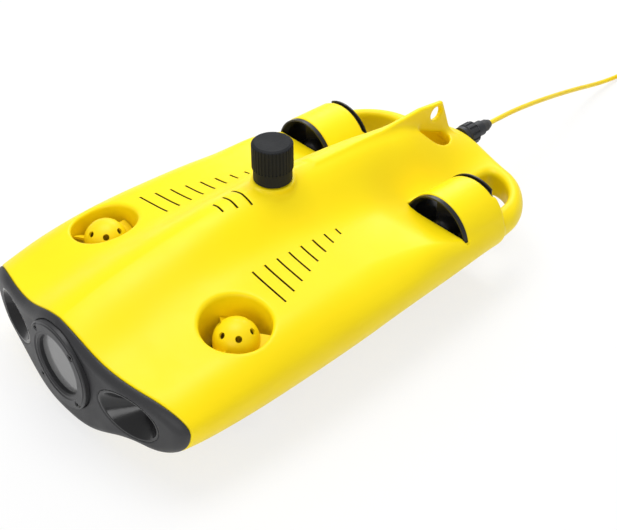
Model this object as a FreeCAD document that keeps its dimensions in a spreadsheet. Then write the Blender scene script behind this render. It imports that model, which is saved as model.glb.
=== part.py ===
"""Mini underwater inspection vehicle: five thrusters in a free-form two-part hull.

Frame: millimetres, nose towards -Y, tail towards +Y, +Z up.  The origin is on the
ground under the middle of the vehicle, without its tether.
"""

import FreeCAD, Part
import math
import os
import Sketcher
from FreeCAD import Placement, Rotation, Vector

DIMENSIONS = [
    # hull form
    ("hull_length", 382.5, "nose panel face to the tail edge, on the centre line"),
    ("hull_beam", 226.0, "widest point of the hull"),
    ("crest_height", 108.4, "top of the spine above the ground"),
    ("shoulder_height", 83.0, "top of the side lobes above the ground"),
    ("wall", 2.5, "moulded wall of both hull halves"),
    ("parting_height", 43.0, "level where the hull halves meet"),
    ("ground_clearance", 1.5, "belly above the ground, carried by the skids"),
    ("tail_corner", 34.0, "plan radius of the tail corners"),
    ("tail_sweep", 11.5, "how far the tail edge runs forward towards its corners"),
    ("tail_bar", 14.0, "width of the bar that passes behind each thruster"),
    ("side_round", 27.0, "radius along the sides of the hull"),
    ("bar_round", 9.0, "radius along the edge of the tail bar"),
    ("hump_width", 28.0, "half width of the spine amidships"),
    ("nose_hump_width", 33.0, "half width of the spine at the nose"),
    ("keel_width", 50.0, "half width of the belly"),
    ("tail_rise", 8.0, "how far the tail edge rises towards the socket"),
    # nose
    ("nose_bow", 340.0, "plan radius of the nose panel's face"),
    ("panel_thick", 5.5, "nose panel"),
    ("panel_edge", 2.5, "rounding of the nose panel's front edge"),
    ("camera_height", 47.0, "camera axis above the ground"),
    ("bezel_radius", 31.8, "camera bezel, outside"),
    ("bezel_proud", 2.5, "bezel in front of the nose panel"),
    ("glass_radius", 23.0, "camera window"),
    ("glass_thick", 3.5, "camera window"),
    ("view_radius", 21.5, "clear opening of the bezel"),
    ("bezel_screw_circle", 28.4, "radius of the circle of bezel screws"),
    ("bezel_screw_radius", 1.25, "thread of the bezel screws"),
    ("lamp_offset", 67.0, "lamp axis from the centre line"),
    ("lamp_height", 43.5, "lamp axis above the ground"),
    ("lamp_radius", 13.0, "rim of the lamp reflector"),
    ("lamp_depth", 18.0, "depth of the lamp reflector"),
    # pressure hull
    ("tube_radius", 34.0, "pressure hull, outside"),
    ("tube_wall", 3.0, "pressure hull"),
    ("tube_long", 236.0, "pressure hull"),
    ("flange_thick", 8.5, "end cap flanges"),
    ("plug_depth", 10.0, "how far each end cap reaches into the tube"),
    ("seal_section", 1.0, "section radius of the round seals"),
    ("seat_gap", 0.1, "clearance of pieces that seat on each other"),
    # card port and its cap
    ("port_station", -7.5, "card port axis along the vehicle"),
    ("boss_radius", 15.6, "round boss on the spine"),
    ("neck_radius", 10.0, "card port neck"),
    ("neck_bore", 7.0, "card port neck, inside"),
    ("cap_height", 29.4, "screw cap"),
    ("cap_radius", 14.5, "knurled grip of the screw cap"),
    ("cap_skirt", 13.65, "plain skirt of the screw cap"),
    ("skirt_height", 9.5, "plain skirt of the screw cap"),
    ("knurls", 36, "grooves around the grip"),
    ("moving_gap", 0.3, "clearance round pieces that move"),
    # upright thrusters
    ("duct_offset", 72.2, "front duct axis from the centre line"),
    ("duct_station", -101.5, "front duct axis along the vehicle"),
    ("duct_radius", 23.5, "front duct bore"),
    ("duct_wall", 2.2, "front duct"),
    ("tail_duct_station", 149.5, "tail duct axis along the vehicle"),
    ("tail_duct_radius", 16.5, "tail duct bore"),
    ("tip_gap", 0.9, "blade tip to duct"),
    ("dome_radius", 15.5, "propeller hub of a front upright thruster"),
    ("tail_dome_radius", 9.6, "propeller hub of the tail thruster"),
    ("mount_level", 40.0, "underside of the front motor mounts"),
    ("tail_mount_level", 34.0, "underside of the tail motor mount"),
    ("mount_thick", 4.5, "motor mount"),
    ("shaft_radius", 1.5, "thruster shafts"),
    ("shaft_gap", 0.05, "running fit of the shafts"),
    # rear thrusters
    ("nacelle_offset", 70.4, "rear thruster axis from the centre line"),
    ("nacelle_height", 53.9, "rear thruster axis above the ground"),
    ("nacelle_front", 88.0, "front face of the nacelle cover"),
    ("nacelle_rear", 126.4, "rear face of the nacelle cover"),
    ("nozzle_radius", 27.6, "outside of the thruster nozzle"),
    ("nozzle_bore", 25.6, "inside of the thruster nozzle"),
    ("lip_radius", 29.5, "rolled lip of the nozzle"),
    ("lip_thick", 3.4, "rolled lip of the nozzle"),
    ("ring_thick", 1.2, "rear ring of the nozzle"),
    ("cover_wall", 2.3, "nacelle cover over the nozzle"),
    ("pod_radius", 10.0, "motor pod"),
    ("tail_body", 48.0, "half width of the hull between the rear thrusters' outlets"),
    ("blade_thick", 2.0, "propeller blades"),
    # fin
    ("fin_thick", 4.4, "stern fin"),
    ("eye_radius", 5.75, "lanyard eye"),
    ("eye_station", 154.9, "lanyard eye along the vehicle"),
    ("eye_height", 95.6, "lanyard eye above the ground"),
    # vents
    ("vent_width", 1.4, "vent slots"),
    ("vent_pitch", 10.62, "spacing of the side vents"),
    ("vent_first", -65.4, "first side vent along the vehicle"),
    ("vent_inner", 46.0, "inner end of the side vents"),
    ("vent_outer", 79.4, "outer end of the first side vent"),
    ("vent_step", 3.95, "how much shorter each side vent is than the last"),
    ("side_vents", 8, "vents on each side"),
    ("crest_vent_first", -56.0, "first vent across the spine, along the vehicle"),
    ("crest_vent_pitch", 10.35, "spacing of the vents across the spine"),
    ("crest_vent_half", 5.5, "half length of the first vent across the spine"),
    ("crest_vent_step", 2.75, "how much longer each half of the next one is"),
    ("crest_vents", 3, "vents across the spine"),
    # belly
    ("skid_offset", 19.0, "skid centre line from the middle"),
    ("skid_station", 92.0, "skid centres fore and aft of the middle"),
    ("skid_long", 46.0, "skid"),
    ("skid_wide", 10.0, "skid"),
    ("plate_long", 62.0, "accessory plate"),
    ("plate_wide", 24.0, "accessory plate"),
    ("plate_thick", 3.6, "accessory plate"),
    ("insert_spacing", 40.0, "threaded inserts of the accessory plate"),
    ("insert_radius", 2.1, "tapping bore of the inserts"),
    ("insert_depth", 9.0, "inserts from the plate's face"),
    # fasteners
    ("screw_radius", 1.5, "hull screws"),
    ("screw_head", 3.0, "hull screw heads"),
    ("post_radius", 5.0, "screw posts inside the hull"),
    # tether
    ("socket_height", 58.9, "tether socket axis above the ground"),
    ("socket_radius", 8.6, "tether socket flange"),
    ("socket_thick", 3.5, "tether socket flange"),
    ("stem_radius", 6.2, "socket barrel and plug barrel"),
    ("tip_radius", 4.6, "plug tip in the socket"),
    ("tip_long", 9.0, "plug tip in the socket"),
    ("nut_radius", 9.2, "coupling nut"),
    ("nut_long", 11.0, "coupling nut"),
    ("boot_long", 10.0, "strain relief"),
    ("cord_radius", 2.0, "tether"),
    ("coil_radius", 24.0, "middle of the coil's turns"),
    ("coil_width", 12.4, "bundle of turns, across"),
    ("coil_height", 16.4, "bundle of turns, high"),
]


class Length:
    """A number that also remembers the sheet formula it comes from."""

    def __init__(self, value, formula):
        self.value = value
        self.formula = formula

    def __add__(self, other):
        return Length(self.value + number(other), f"({self.formula} + {text(other)})")

    def __radd__(self, other):
        return Length(number(other) + self.value, f"({text(other)} + {self.formula})")

    def __sub__(self, other):
        return Length(self.value - number(other), f"({self.formula} - {text(other)})")

    def __rsub__(self, other):
        return Length(number(other) - self.value, f"({text(other)} - {self.formula})")

    def __mul__(self, other):
        return Length(self.value * number(other), f"({self.formula} * {text(other)})")

    def __rmul__(self, other):
        return Length(number(other) * self.value, f"({text(other)} * {self.formula})")

    def __truediv__(self, other):
        return Length(self.value / number(other), f"({self.formula} / {text(other)})")

    def __neg__(self):
        return Length(-self.value, f"(-1 * {self.formula})")


def number(size):
    return size.value if isinstance(size, Length) else float(size)


def text(size):
    return size.formula if isinstance(size, Length) else repr(float(size))


class Sizes:
    """Every driving dimension as an attribute."""

    def __init__(self, doc):
        sheet = doc.addObject("Spreadsheet::Sheet", "Sizes")
        for row, (alias, value, meaning) in enumerate(DIMENSIONS, start=1):
            sheet.set(f"A{row}", meaning)
            sheet.set(f"B{row}", str(value))
            sheet.setAlias(f"B{row}", alias)
        doc.recompute()
        for alias, _, _ in DIMENSIONS:
            setattr(self, alias, Length(float(sheet.get(alias)), f"Sizes.{alias}"))


doc = FreeCAD.newDocument("InspectionVehicle")
size = Sizes(doc)
nodes = []

front = -(size.hull_length + size.bezel_proud) / 2
nose_face = front + size.bezel_proud
tail_edge = -front


# ---------------------------------------------------------------- hull form
# Each curve runs along the vehicle: (station, ratio).  Stations count in half lengths
# from the middle, ratios in the dimension that the curve belongs to.

HALF_BEAM = [(-1.04, 0.885), (-0.857, 0.96), (-0.675, 0.991), (-0.416, 1.0), (-0.13, 0.991),
             (0.104, 0.969), (0.338, 0.934), (0.525, 0.907), (0.732, 0.867), (1.04, 0.779)]
CREST = [(-1.04, 0.72), (-0.966, 0.766), (-0.779, 0.858), (-0.519, 0.941), (-0.27, 0.992),
         (0.0, 1.0), (0.26, 0.981), (0.426, 0.959), (0.53, 0.928), (0.629, 0.893),
         (0.779, 0.775), (0.919, 0.655), (1.04, 0.572)]
SHOULDER = [(-1.04, 0.795), (-0.857, 0.855), (-0.675, 0.94), (-0.468, 0.994), (-0.156, 1.0),
            (0.052, 0.982), (0.26, 0.91), (0.468, 0.759), (1.04, 0.735)]
WING_UNDERSIDE = [(-1.04, 0.289), (-0.857, 0.265), (-0.623, 0.271), (-0.312, 0.307),
                  (0.0, 0.349), (0.26, 0.41), (0.468, 0.458), (1.04, 0.494)]
WAIST = [(-1.04, 0.566), (-0.623, 0.627), (0.0, 0.651), (0.312, 0.627), (0.675, 0.602),
         (1.04, 0.602)]
BELLY = [(-1.04, 0.023), (-0.883, 0.0), (-0.7, 0.0), (0.0, 0.0), (0.55, 0.0), (0.65, 0.004),
         (0.779, 0.097), (0.935, 0.355), (1.04, 0.429)]
SECTIONS = [-1.04, -0.95, -0.86, -0.74, -0.58, -0.42, -0.24, -0.06, 0.12, 0.29, 0.44, 0.55,
            0.65, 0.745, 0.82, 0.87, 0.905, 0.93, 0.95, 0.967, 0.985]

half_length = number(tail_edge)


def along(curve, y):
    """Value of a hull curve at y, as a smooth run through its points."""
    station = min(max(y / half_length, curve[0][0]), curve[-1][0])
    last = len(curve) - 1
    slopes = [0.0]
    for k in range(1, last):
        slopes.append((curve[k + 1][1] - curve[k - 1][1]) / (curve[k + 1][0] - curve[k - 1][0]))
    slopes.append((curve[last][1] - curve[last - 1][1]) / (curve[last][0] - curve[last - 1][0]))
    k = max(k for k in range(last) if curve[k][0] <= station)
    run = curve[k + 1][0] - curve[k][0]
    q = (station - curve[k][0]) / run
    value = curve[k][1] * (1 + 2 * q) * (1 - q) ** 2 + curve[k + 1][1] * q * q * (3 - 2 * q)
    return value + run * q * (1 - q) * (slopes[k] * (1 - q) - slopes[k + 1] * q)


def ramp(start, end, y):
    """0 before the station start, 1 after end, with a smooth change between."""
    q = min(max((y / half_length - start) / (end - start), 0.0), 1.0)
    return q * q * (3 - 2 * q)


def bell(q, power):
    return math.exp(-abs(q) ** power)


def quarter_round(q):
    """Height of a quarter circle, from 0 at its edge to 1 where it is flat."""
    return math.sqrt(1 - (1 - min(max(q, 0.0), 1.0)) ** 2)


def half_beam(y):
    return along(HALF_BEAM, y) * number(size.hull_beam) / 2


def tail_line(x):
    """The tail edge in plan."""
    reach = number(size.hull_beam) * 0.288
    return half_length - number(size.tail_sweep) * (abs(x) / reach) ** 1.3


def plan_depth(x, y):
    """Distance inside the plan outline, negative outside it."""
    corner = number(size.tail_corner)
    side = max(corner - (half_beam(y) - abs(x)), 0.0)
    back = max(corner - (tail_line(x) - y), 0.0)
    return corner - math.hypot(side, back)


def edge_radius(y):
    return number(size.side_round) + (number(size.bar_round) - number(size.side_round)) * ramp(0.0, 0.468, y)


def waist(x, y):
    rise = number(size.tail_rise) * bell(x / 40.0, 2) * ramp(0.571, 0.935, y)
    return along(WAIST, y) * number(size.shoulder_height) + rise


def deck(x, y, inset=0.0):
    """Top surface of the hull, or of its cavity when inset is the wall."""
    fall = 0.13 * (1 - ramp(0.052, 0.416, y))
    lobe = along(SHOULDER, y) * number(size.shoulder_height)
    crest = along(CREST, y) * number(size.crest_height)
    width = number(size.nose_hump_width)
    width += (number(size.hump_width) - width) * ramp(-0.935, -0.312, y)
    inner = lobe + fall * 46.0
    full = lobe - fall * (abs(x) - 46.0) + (crest - inner) * bell(x / width, 2.4) - inset
    level = waist(x, y)
    return level + (full - level) * quarter_round((plan_depth(x, y) - inset) / (edge_radius(y) - inset))


def underside(x, y, inset=0.0):
    """Bottom surface of the hull, or of its cavity when inset is the wall."""
    wing = along(WING_UNDERSIDE, y) * number(size.shoulder_height)
    keel = number(size.ground_clearance) + along(BELLY, y) * number(size.crest_height)
    full = wing - (wing - keel) * bell(x / number(size.keel_width), 3) + inset
    level = waist(x, y)
    return level - (level - full) * quarter_round((plan_depth(x, y) - inset) / (edge_radius(y) - inset))


def section_reach(y, inset):
    """Half width of the section at y."""
    low = 0.0
    high = number(size.hull_beam)
    for _ in range(50):
        middle = (low + high) / 2
        if plan_depth(middle, y) > inset:
            low = middle
        else:
            high = middle
    return low


def hull_section(station, inset=0.0):
    """Closed section across the hull at a station."""
    y = station * half_length
    reach = section_reach(y, inset)
    top_count = 26
    bottom_count = 16
    points = []
    for k in range(top_count):
        x = -reach * math.cos(math.pi * k / top_count)
        points.append(Vector(x, y, deck(x, y, inset) if k else waist(x, y)))
    for k in range(bottom_count):
        x = reach * math.cos(math.pi * k / bottom_count)
        points.append(Vector(x, y, underside(x, y, inset) if k else waist(x, y)))
    spline = Part.BSplineCurve()
    spline.interpolate(Points=points, PeriodicFlag=True)
    return Part.Wire(spline.toShape())


def hull_solid(name, stations, inset=0.0):
    """Free-form solid through the sections at the stations."""
    feature = doc.addObject("Part::Feature", name)
    feature.Shape = Part.makeLoft([hull_section(s, inset) for s in stations], True, False)
    return feature


# ---------------------------------------------------------------- building blocks

AXES = {
    "X": Rotation(Vector(0, 1, 0), 90),
    "Y": Rotation(Vector(1, 0, 0), -90),
    "-Y": Rotation(Vector(1, 0, 0), 90),
    "Z": Rotation(),
}


def bind(feature, **properties):
    """Ties properties to the sheet.  A double underscore stands for a dot."""
    for name, value in properties.items():
        path = name.replace("__", ".")
        if isinstance(value, Length):
            feature.setExpression(path, value.formula)
        elif "." not in path:
            setattr(feature, path, value)


def place(feature, at, axis="Z"):
    """Moves a feature to at, turned so that its own Z lies along the axis."""
    base = Vector(*[number(v) for v in at])
    feature.Placement = Placement(base, AXES[axis])
    for name, value in zip("xyz", at):
        if isinstance(value, Length):
            feature.setExpression(f"Placement.Base.{name}", value.formula)
    return feature


def cylinder(name, radius, height, at=(0, 0, 0), axis="Z"):
    feature = doc.addObject("Part::Cylinder", name)
    bind(feature, Radius=radius, Height=height)
    return place(feature, at, axis)


def cone(name, radius_1, radius_2, height, at=(0, 0, 0), axis="Z"):
    feature = doc.addObject("Part::Cone", name)
    bind(feature, Radius1=radius_1, Radius2=radius_2, Height=height)
    return place(feature, at, axis)


def ring(name, radius, section, at=(0, 0, 0), axis="Z"):
    feature = doc.addObject("Part::Torus", name)
    bind(feature, Radius1=radius, Radius2=section)
    return place(feature, at, axis)


def half_ball(name, radius, at, axis="Z"):
    """Upper half of a ball, flat side at its place."""
    feature = doc.addObject("Part::Sphere", name)
    feature.Angle1 = 0
    bind(feature, Radius=radius)
    return place(feature, at, axis)


def box(name, low, extent):
    """Block with its lowest corner at low."""
    feature = doc.addObject("Part::Box", name)
    bind(feature, Length=extent[0], Width=extent[1], Height=extent[2])
    return place(feature, low)


def fuse(name, *shapes):
    feature = doc.addObject("Part::MultiFuse", name)
    feature.Shapes = list(shapes)
    return feature


def common(name, first, second):
    feature = doc.addObject("Part::Common", name)
    feature.Base = first
    feature.Tool = second
    return feature


def cut(name, base, *tools):
    feature = doc.addObject("Part::Cut", name)
    feature.Base = base
    feature.Tool = tools[0] if len(tools) == 1 else fuse(name + "_tools", *tools)
    return feature


def node(label, feature):
    """Hands a finished sub-part over under the name it is known by."""
    feature.Label = label
    nodes.append(feature)
    return feature


def plane_of(body, role):
    return next(f for f in body.Origin.OriginFeatures if f.Role == role)


def outline_sketch(body, name, plane, outline):
    """Closed sketch through the outline's points, each point tied to the sheet."""
    sketch = body.newObject("Sketcher::SketchObject", name)
    sketch.AttachmentSupport = (plane_of(body, plane), [""])
    sketch.MapMode = "FlatFace"
    corners = [Vector(number(x), number(y), 0) for x, y in outline]
    count = len(corners)
    for k in range(count):
        sketch.addGeometry(Part.LineSegment(corners[k], corners[(k + 1) % count]))
    for k in range(count):
        sketch.addConstraint(Sketcher.Constraint("Coincident", k, 2, (k + 1) % count, 1))
    for k, point in enumerate(outline):
        for kind, value in zip(("DistanceX", "DistanceY"), point):
            if number(value) == 0.0:
                lock = Sketcher.Constraint("PointOnObject", k, 1, -2 if kind == "DistanceX" else -1)
                sketch.addConstraint(lock)
            else:
                row = sketch.addConstraint(Sketcher.Constraint(kind, -1, 1, k, 1, number(value)))
                if isinstance(value, Length):
                    sketch.setExpression(f"Constraints[{row}]", value.formula)
    return sketch


def turned(name, outline, at=(0, 0, 0), axis="Z"):
    """Body turned about its own Z from an outline of (radius, height) points."""
    body = doc.addObject("PartDesign::Body", name)
    sketch = outline_sketch(body, name + "_outline", "XZ_Plane", outline)
    turn = body.newObject("PartDesign::Revolution", name + "_turn")
    turn.Profile = sketch
    turn.ReferenceAxis = (sketch, ["V_Axis"])
    turn.Angle = 360.0
    body.Tip = turn
    return place(body, at, axis)


def turned_about(feature, degrees):
    """Turns a placed feature about its own Z."""
    turn = Placement(Vector(), Rotation(Vector(0, 0, 1), degrees))
    feature.Placement = feature.Placement.multiply(turn)
    return feature


def spokes(name, outline, reach, count, at, axis="Z", phase=0.0):
    """Bars of one section that leave the axis in equal steps, as one body."""
    body = doc.addObject("PartDesign::Body", name)
    sketch = outline_sketch(body, name + "_section", "YZ_Plane", outline)
    bar = body.newObject("PartDesign::Pad", name + "_bar")
    bar.Profile = sketch
    bind(bar, Length=reach)
    pattern = body.newObject("PartDesign::PolarPattern", name + "_set")
    pattern.Originals = [bar]
    pattern.Axis = (plane_of(body, "Z_Axis"), [""])
    pattern.Angle = 360.0
    pattern.Occurrences = count
    body.Tip = pattern
    place(body, at, axis)
    return turned_about(body, phase)


def ahead(at, axis, distance):
    """The place a distance further along the axis."""
    step = {"X": (1, 0, 0), "Y": (0, 1, 0), "-Y": (0, -1, 0), "Z": (0, 0, 1)}[axis]
    return tuple(v + distance * k if k else v for v, k in zip(at, step))


def tube(name, outer, inner, height, at, axis="Z"):
    body = cylinder(name + "_outside", outer, height, at, axis)
    return cut(name, body, cylinder(name + "_inside", inner, height, at, axis))


sides = {"left": -1, "right": 1}


# ---------------------------------------------------------------- nose and camera

tall = 200.0
deep = -20.0
hull_form = hull_solid("hull_form", SECTIONS)
bow_centre = (0, nose_face + size.nose_bow, deep)
panel_back = cylinder("panel_back", size.nose_bow - size.panel_thick, tall, bow_centre)
lamp_face = nose_face + size.lamp_offset * size.lamp_offset / size.nose_bow / 2
flange_face = nose_face + size.panel_thick
lamp_throat = 4.2
lamp_lens_thick = 2.2


def build_nose_panel():
    face = cylinder("panel_face", size.nose_bow, tall, bow_centre)
    blank = cut("panel_blank", common("panel_solid", hull_form, face), panel_back)
    doc.recompute()
    axis = Vector(0, number(bow_centre[1]), 0)
    rim = []
    for index, edge in enumerate(blank.Shape.Edges, start=1):
        middle = edge.valueAt((edge.FirstParameter + edge.LastParameter) / 2)
        middle.z = 0
        if abs(middle.distanceToPoint(axis) - number(size.nose_bow)) < 0.01:
            rim.append((index, number(size.panel_edge), number(size.panel_edge)))
    rounded = doc.addObject("Part::Fillet", "panel_rounded")
    rounded.Base = blank
    rounded.Edges = rim
    ahead_of_nose = front - size.panel_thick
    bores = [cylinder("bezel_bore", size.bezel_radius + size.seat_gap, size.tube_radius,
                      (0, ahead_of_nose, size.camera_height), "Y")]
    for side, sign in sides.items():
        bores.append(cylinder(f"lamp_bore_{side}", size.lamp_radius + size.seat_gap, size.tube_radius,
                              (size.lamp_offset * sign, ahead_of_nose, size.lamp_height), "Y"))
    node("nose_panel", cut("nose_panel_cut", rounded, *bores))


def build_camera():
    glass_front = size.glass_thick - size.panel_thick
    step = 0.6
    bezel = turned("bezel_ring", [
        (size.view_radius, glass_front),
        (size.view_radius, size.bezel_proud - step * 3),
        (size.view_radius + step * 2, size.bezel_proud - step),
        (size.view_radius + step * 5, size.bezel_proud - step),
        (size.view_radius + step * 6, size.bezel_proud),
        (size.bezel_radius - step * 4, size.bezel_proud),
        (size.bezel_radius - step * 3, size.bezel_proud - step),
        (size.bezel_radius - step, size.bezel_proud - step),
        (size.bezel_radius, size.bezel_proud - step * 2),
        (size.bezel_radius, -size.panel_thick),
        (size.glass_radius + size.seat_gap, -size.panel_thick),
        (size.glass_radius + size.seat_gap, glass_front),
    ], (0, nose_face, size.camera_height), "-Y")
    head_radius = size.bezel_screw_radius * 2
    head_thick = size.bezel_screw_radius
    head_face = front + size.bezel_screw_radius / 5
    holes = []
    screws = []
    for k in range(4):
        angle = math.radians(45 + 90 * k)
        across = size.bezel_screw_circle * math.cos(angle)
        level = size.camera_height + size.bezel_screw_circle * math.sin(angle)
        start = (across, head_face, level)
        under_head = ahead(start, "Y", head_thick)
        holes.append(cylinder(f"bezel_hole_{k}", size.bezel_screw_radius + size.seat_gap,
                              size.panel_thick * 2, under_head, "Y"))
        holes.append(cylinder(f"bezel_sink_{k}", head_radius + size.seat_gap, head_thick * 2,
                              ahead(start, "-Y", head_thick), "Y"))
        head = cylinder(f"bezel_head_{k}", head_radius, head_thick, start, "Y")
        shank = cylinder(f"bezel_shank_{k}", size.bezel_screw_radius,
                         size.panel_thick * 2, under_head, "Y")
        key = doc.addObject("Part::Prism", f"bezel_key_{k}")
        key.Polygon = 6
        bind(key, Circumradius=size.bezel_screw_radius, Height=head_thick / 2)
        place(key, start, "Y")
        screws.append(cut(f"bezel_screw_{k}", fuse(f"bezel_screw_solid_{k}", head, shank), key))
    node("camera_bezel", cut("bezel_cut", bezel, *holes))
    node("bezel_screws", fuse("bezel_screw_set", *screws))
    glass_at = (0, flange_face - size.glass_thick, size.camera_height)
    node("camera_window", cylinder("glass", size.glass_radius, size.glass_thick, glass_at, "Y"))
    return holes


def build_lamps():
    for side, sign in sides.items():
        at = (size.lamp_offset * sign, lamp_face, size.lamp_height)
        wall = size.seal_section
        bowl = cone(f"lamp_bowl_{side}", size.lamp_radius, lamp_throat + wall * 1.3,
                    size.lamp_depth, at, "Y")
        hollow = cone(f"lamp_hollow_{side}", size.lamp_radius - wall, lamp_throat,
                      size.lamp_depth, at, "Y")
        node(f"led_reflector_{side}", cut(f"lamp_shell_{side}", bowl, hollow))
        bottom = ahead(at, "Y", size.lamp_depth)
        node(f"led_lens_{side}", cylinder(f"lamp_lens_{side}", lamp_throat, lamp_lens_thick / 2,
                                          bottom, "Y"))
        board = ahead(bottom, "Y", lamp_lens_thick / 2)
        module = fuse(f"lamp_module_{side}",
                      cylinder(f"lamp_board_{side}", size.lamp_radius / 2, size.panel_thick / 3, board, "Y"),
                      cylinder(f"lamp_core_{side}", lamp_throat, size.lamp_depth / 2, board, "Y"),
                      cylinder(f"lamp_plug_{side}", size.lamp_radius / 2, size.lamp_depth / 4,
                               ahead(board, "Y", size.lamp_depth / 2), "Y"))
        node(f"led_module_{side}", module)


# ---------------------------------------------------------------- pressure hull

camera_bore = 18.5
tube_start = flange_face + size.flange_thick
tube_end = tube_start + size.tube_long
tube_axis = size.camera_height
tube_inner = size.tube_radius - size.tube_wall
plug_radius = tube_inner - size.seat_gap
cap_seal_depth = size.flange_thick + size.plug_depth * 0.4
tray_thick = 2.0
tray_wide = tube_inner * 1.92


def end_cap(name, bore, at, axis):
    """Flanged cap with a plug, a groove for its seal and a bore."""
    groove = 2 * size.seal_section
    return turned(name, [
        (bore, 0.0),
        (size.bezel_radius, 0.0),
        (size.bezel_radius, size.flange_thick),
        (plug_radius, size.flange_thick),
        (plug_radius, cap_seal_depth),
        (tube_inner - groove, cap_seal_depth),
        (tube_inner - groove, cap_seal_depth + groove),
        (plug_radius, cap_seal_depth + groove),
        (plug_radius, size.flange_thick + size.plug_depth),
        (bore, size.flange_thick + size.plug_depth),
    ], at, axis)


def build_pressure_hull(bezel_holes):
    front_at = (0, flange_face, tube_axis)
    rear_at = (0, tube_end + size.flange_thick, tube_axis)
    seal_middle = (size.glass_radius + camera_bore) / 2
    groove = tube("window_groove", seal_middle + size.seal_section, seal_middle - size.seal_section,
                  size.seal_section * 2, front_at, "Y")
    node("front_end_cap", cut("front_cap_cut", end_cap("front_cap", camera_bore, front_at, "Y"),
                              groove, *bezel_holes))
    node("window_seal", ring("window_ring", seal_middle, size.seal_section,
                             ahead(front_at, "Y", size.seal_section), "Y"))
    gland_bore = size.cord_radius * 2
    node("rear_end_cap", end_cap("rear_cap", gland_bore, rear_at, "-Y"))
    gland = fuse("gland_solid",
                 cylinder("gland_stem", gland_bore - size.seat_gap,
                          size.flange_thick + size.plug_depth, rear_at, "-Y"),
                 cylinder("gland_head", gland_bore * 2, size.flange_thick / 2, rear_at, "Y"))
    node("cable_gland", gland)
    seal_step = cap_seal_depth + size.seal_section
    node("end_cap_seals", fuse(
        "cap_rings",
        ring("front_cap_ring", tube_inner - size.seal_section, size.seal_section,
             ahead(front_at, "Y", seal_step), "Y"),
        ring("rear_cap_ring", tube_inner - size.seal_section, size.seal_section,
             ahead(rear_at, "-Y", seal_step), "Y")))
    shell = tube("tube_shell", size.tube_radius, tube_inner, size.tube_long, (0, tube_start, tube_axis), "Y")
    port_bore = cylinder("tube_port", size.neck_bore, size.tube_radius + size.tube_wall,
                         (0, size.port_station, tube_axis))
    node("pressure_hull", cut("tube_cut", shell, port_bore))


def build_electronics():
    module_long = 16.0
    module_at = (0, flange_face + size.seat_gap, tube_axis)
    module = cut("camera_solid",
                 fuse("camera_blocks",
                      cylinder("camera_barrel", camera_bore - size.seat_gap,
                               size.flange_thick + size.plug_depth, module_at, "Y"),
                      box("camera_box", (-module_long, tube_start + size.plug_depth, tube_axis - module_long),
                          (module_long * 2, module_long * 1.5, module_long * 2))),
                 cone("camera_mouth", camera_bore * 0.8, camera_bore * 0.45, size.flange_thick,
                      module_at, "Y"))
    lens = cylinder("camera_lens", camera_bore * 0.4, size.flange_thick / 4,
                    ahead(module_at, "Y", size.flange_thick * 0.75), "Y")
    node("camera_module", fuse("camera_all", module, lens))
    tray_start = tube_start + size.plug_depth + module_long * 1.5 + size.seat_gap
    tray_long = tube_end - size.plug_depth - tray_start - size.seat_gap
    tray_low = tube_axis - tray_thick / 2
    node("electronics_tray", box("tray", (-tray_wide / 2, tray_start, tray_low),
                                 (tray_wide, tray_long, tray_thick)))
    pack_wide = 40.0
    pack_high = 22.0
    node("battery_pack", box("pack", (-pack_wide / 2, tray_start + tray_long / 4, tray_low - pack_high),
                             (pack_wide, tray_long * 0.7, pack_high)))
    board_wide = 44.0
    stand = 5.0
    board_start = tray_start + stand
    board_long = number(tray_long) * 0.5
    board_low = tray_low + tray_thick
    pieces = [box("board_plate", (-board_wide / 2, board_start, board_low + stand),
                  (board_wide, board_long, 1.6))]
    for k, (x, y) in enumerate([(-1, 0), (1, 0), (-1, 1), (1, 1)]):
        pieces.append(cylinder(f"board_stand_{k}", 2.0, stand,
                               (x * (board_wide / 2 - stand), board_start + stand + y * (board_long - 2 * stand),
                                board_low)))
    for k in range(3):
        pieces.append(box(f"board_chip_{k}", (-10.0, board_start + 12.0 + k * 24.0, board_low + stand + 1.6),
                          (20.0, 14.0, 2.5)))
    node("main_board", fuse("board", *pieces))


# ---------------------------------------------------------------- card port

boss_top = size.crest_height + size.seat_gap
cap_low = boss_top + size.moving_gap
neck_top = cap_low + size.cap_height * 0.68
cap_seal_section = 0.9
cap_seal_radius = (size.neck_radius + size.neck_bore) / 2


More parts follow.
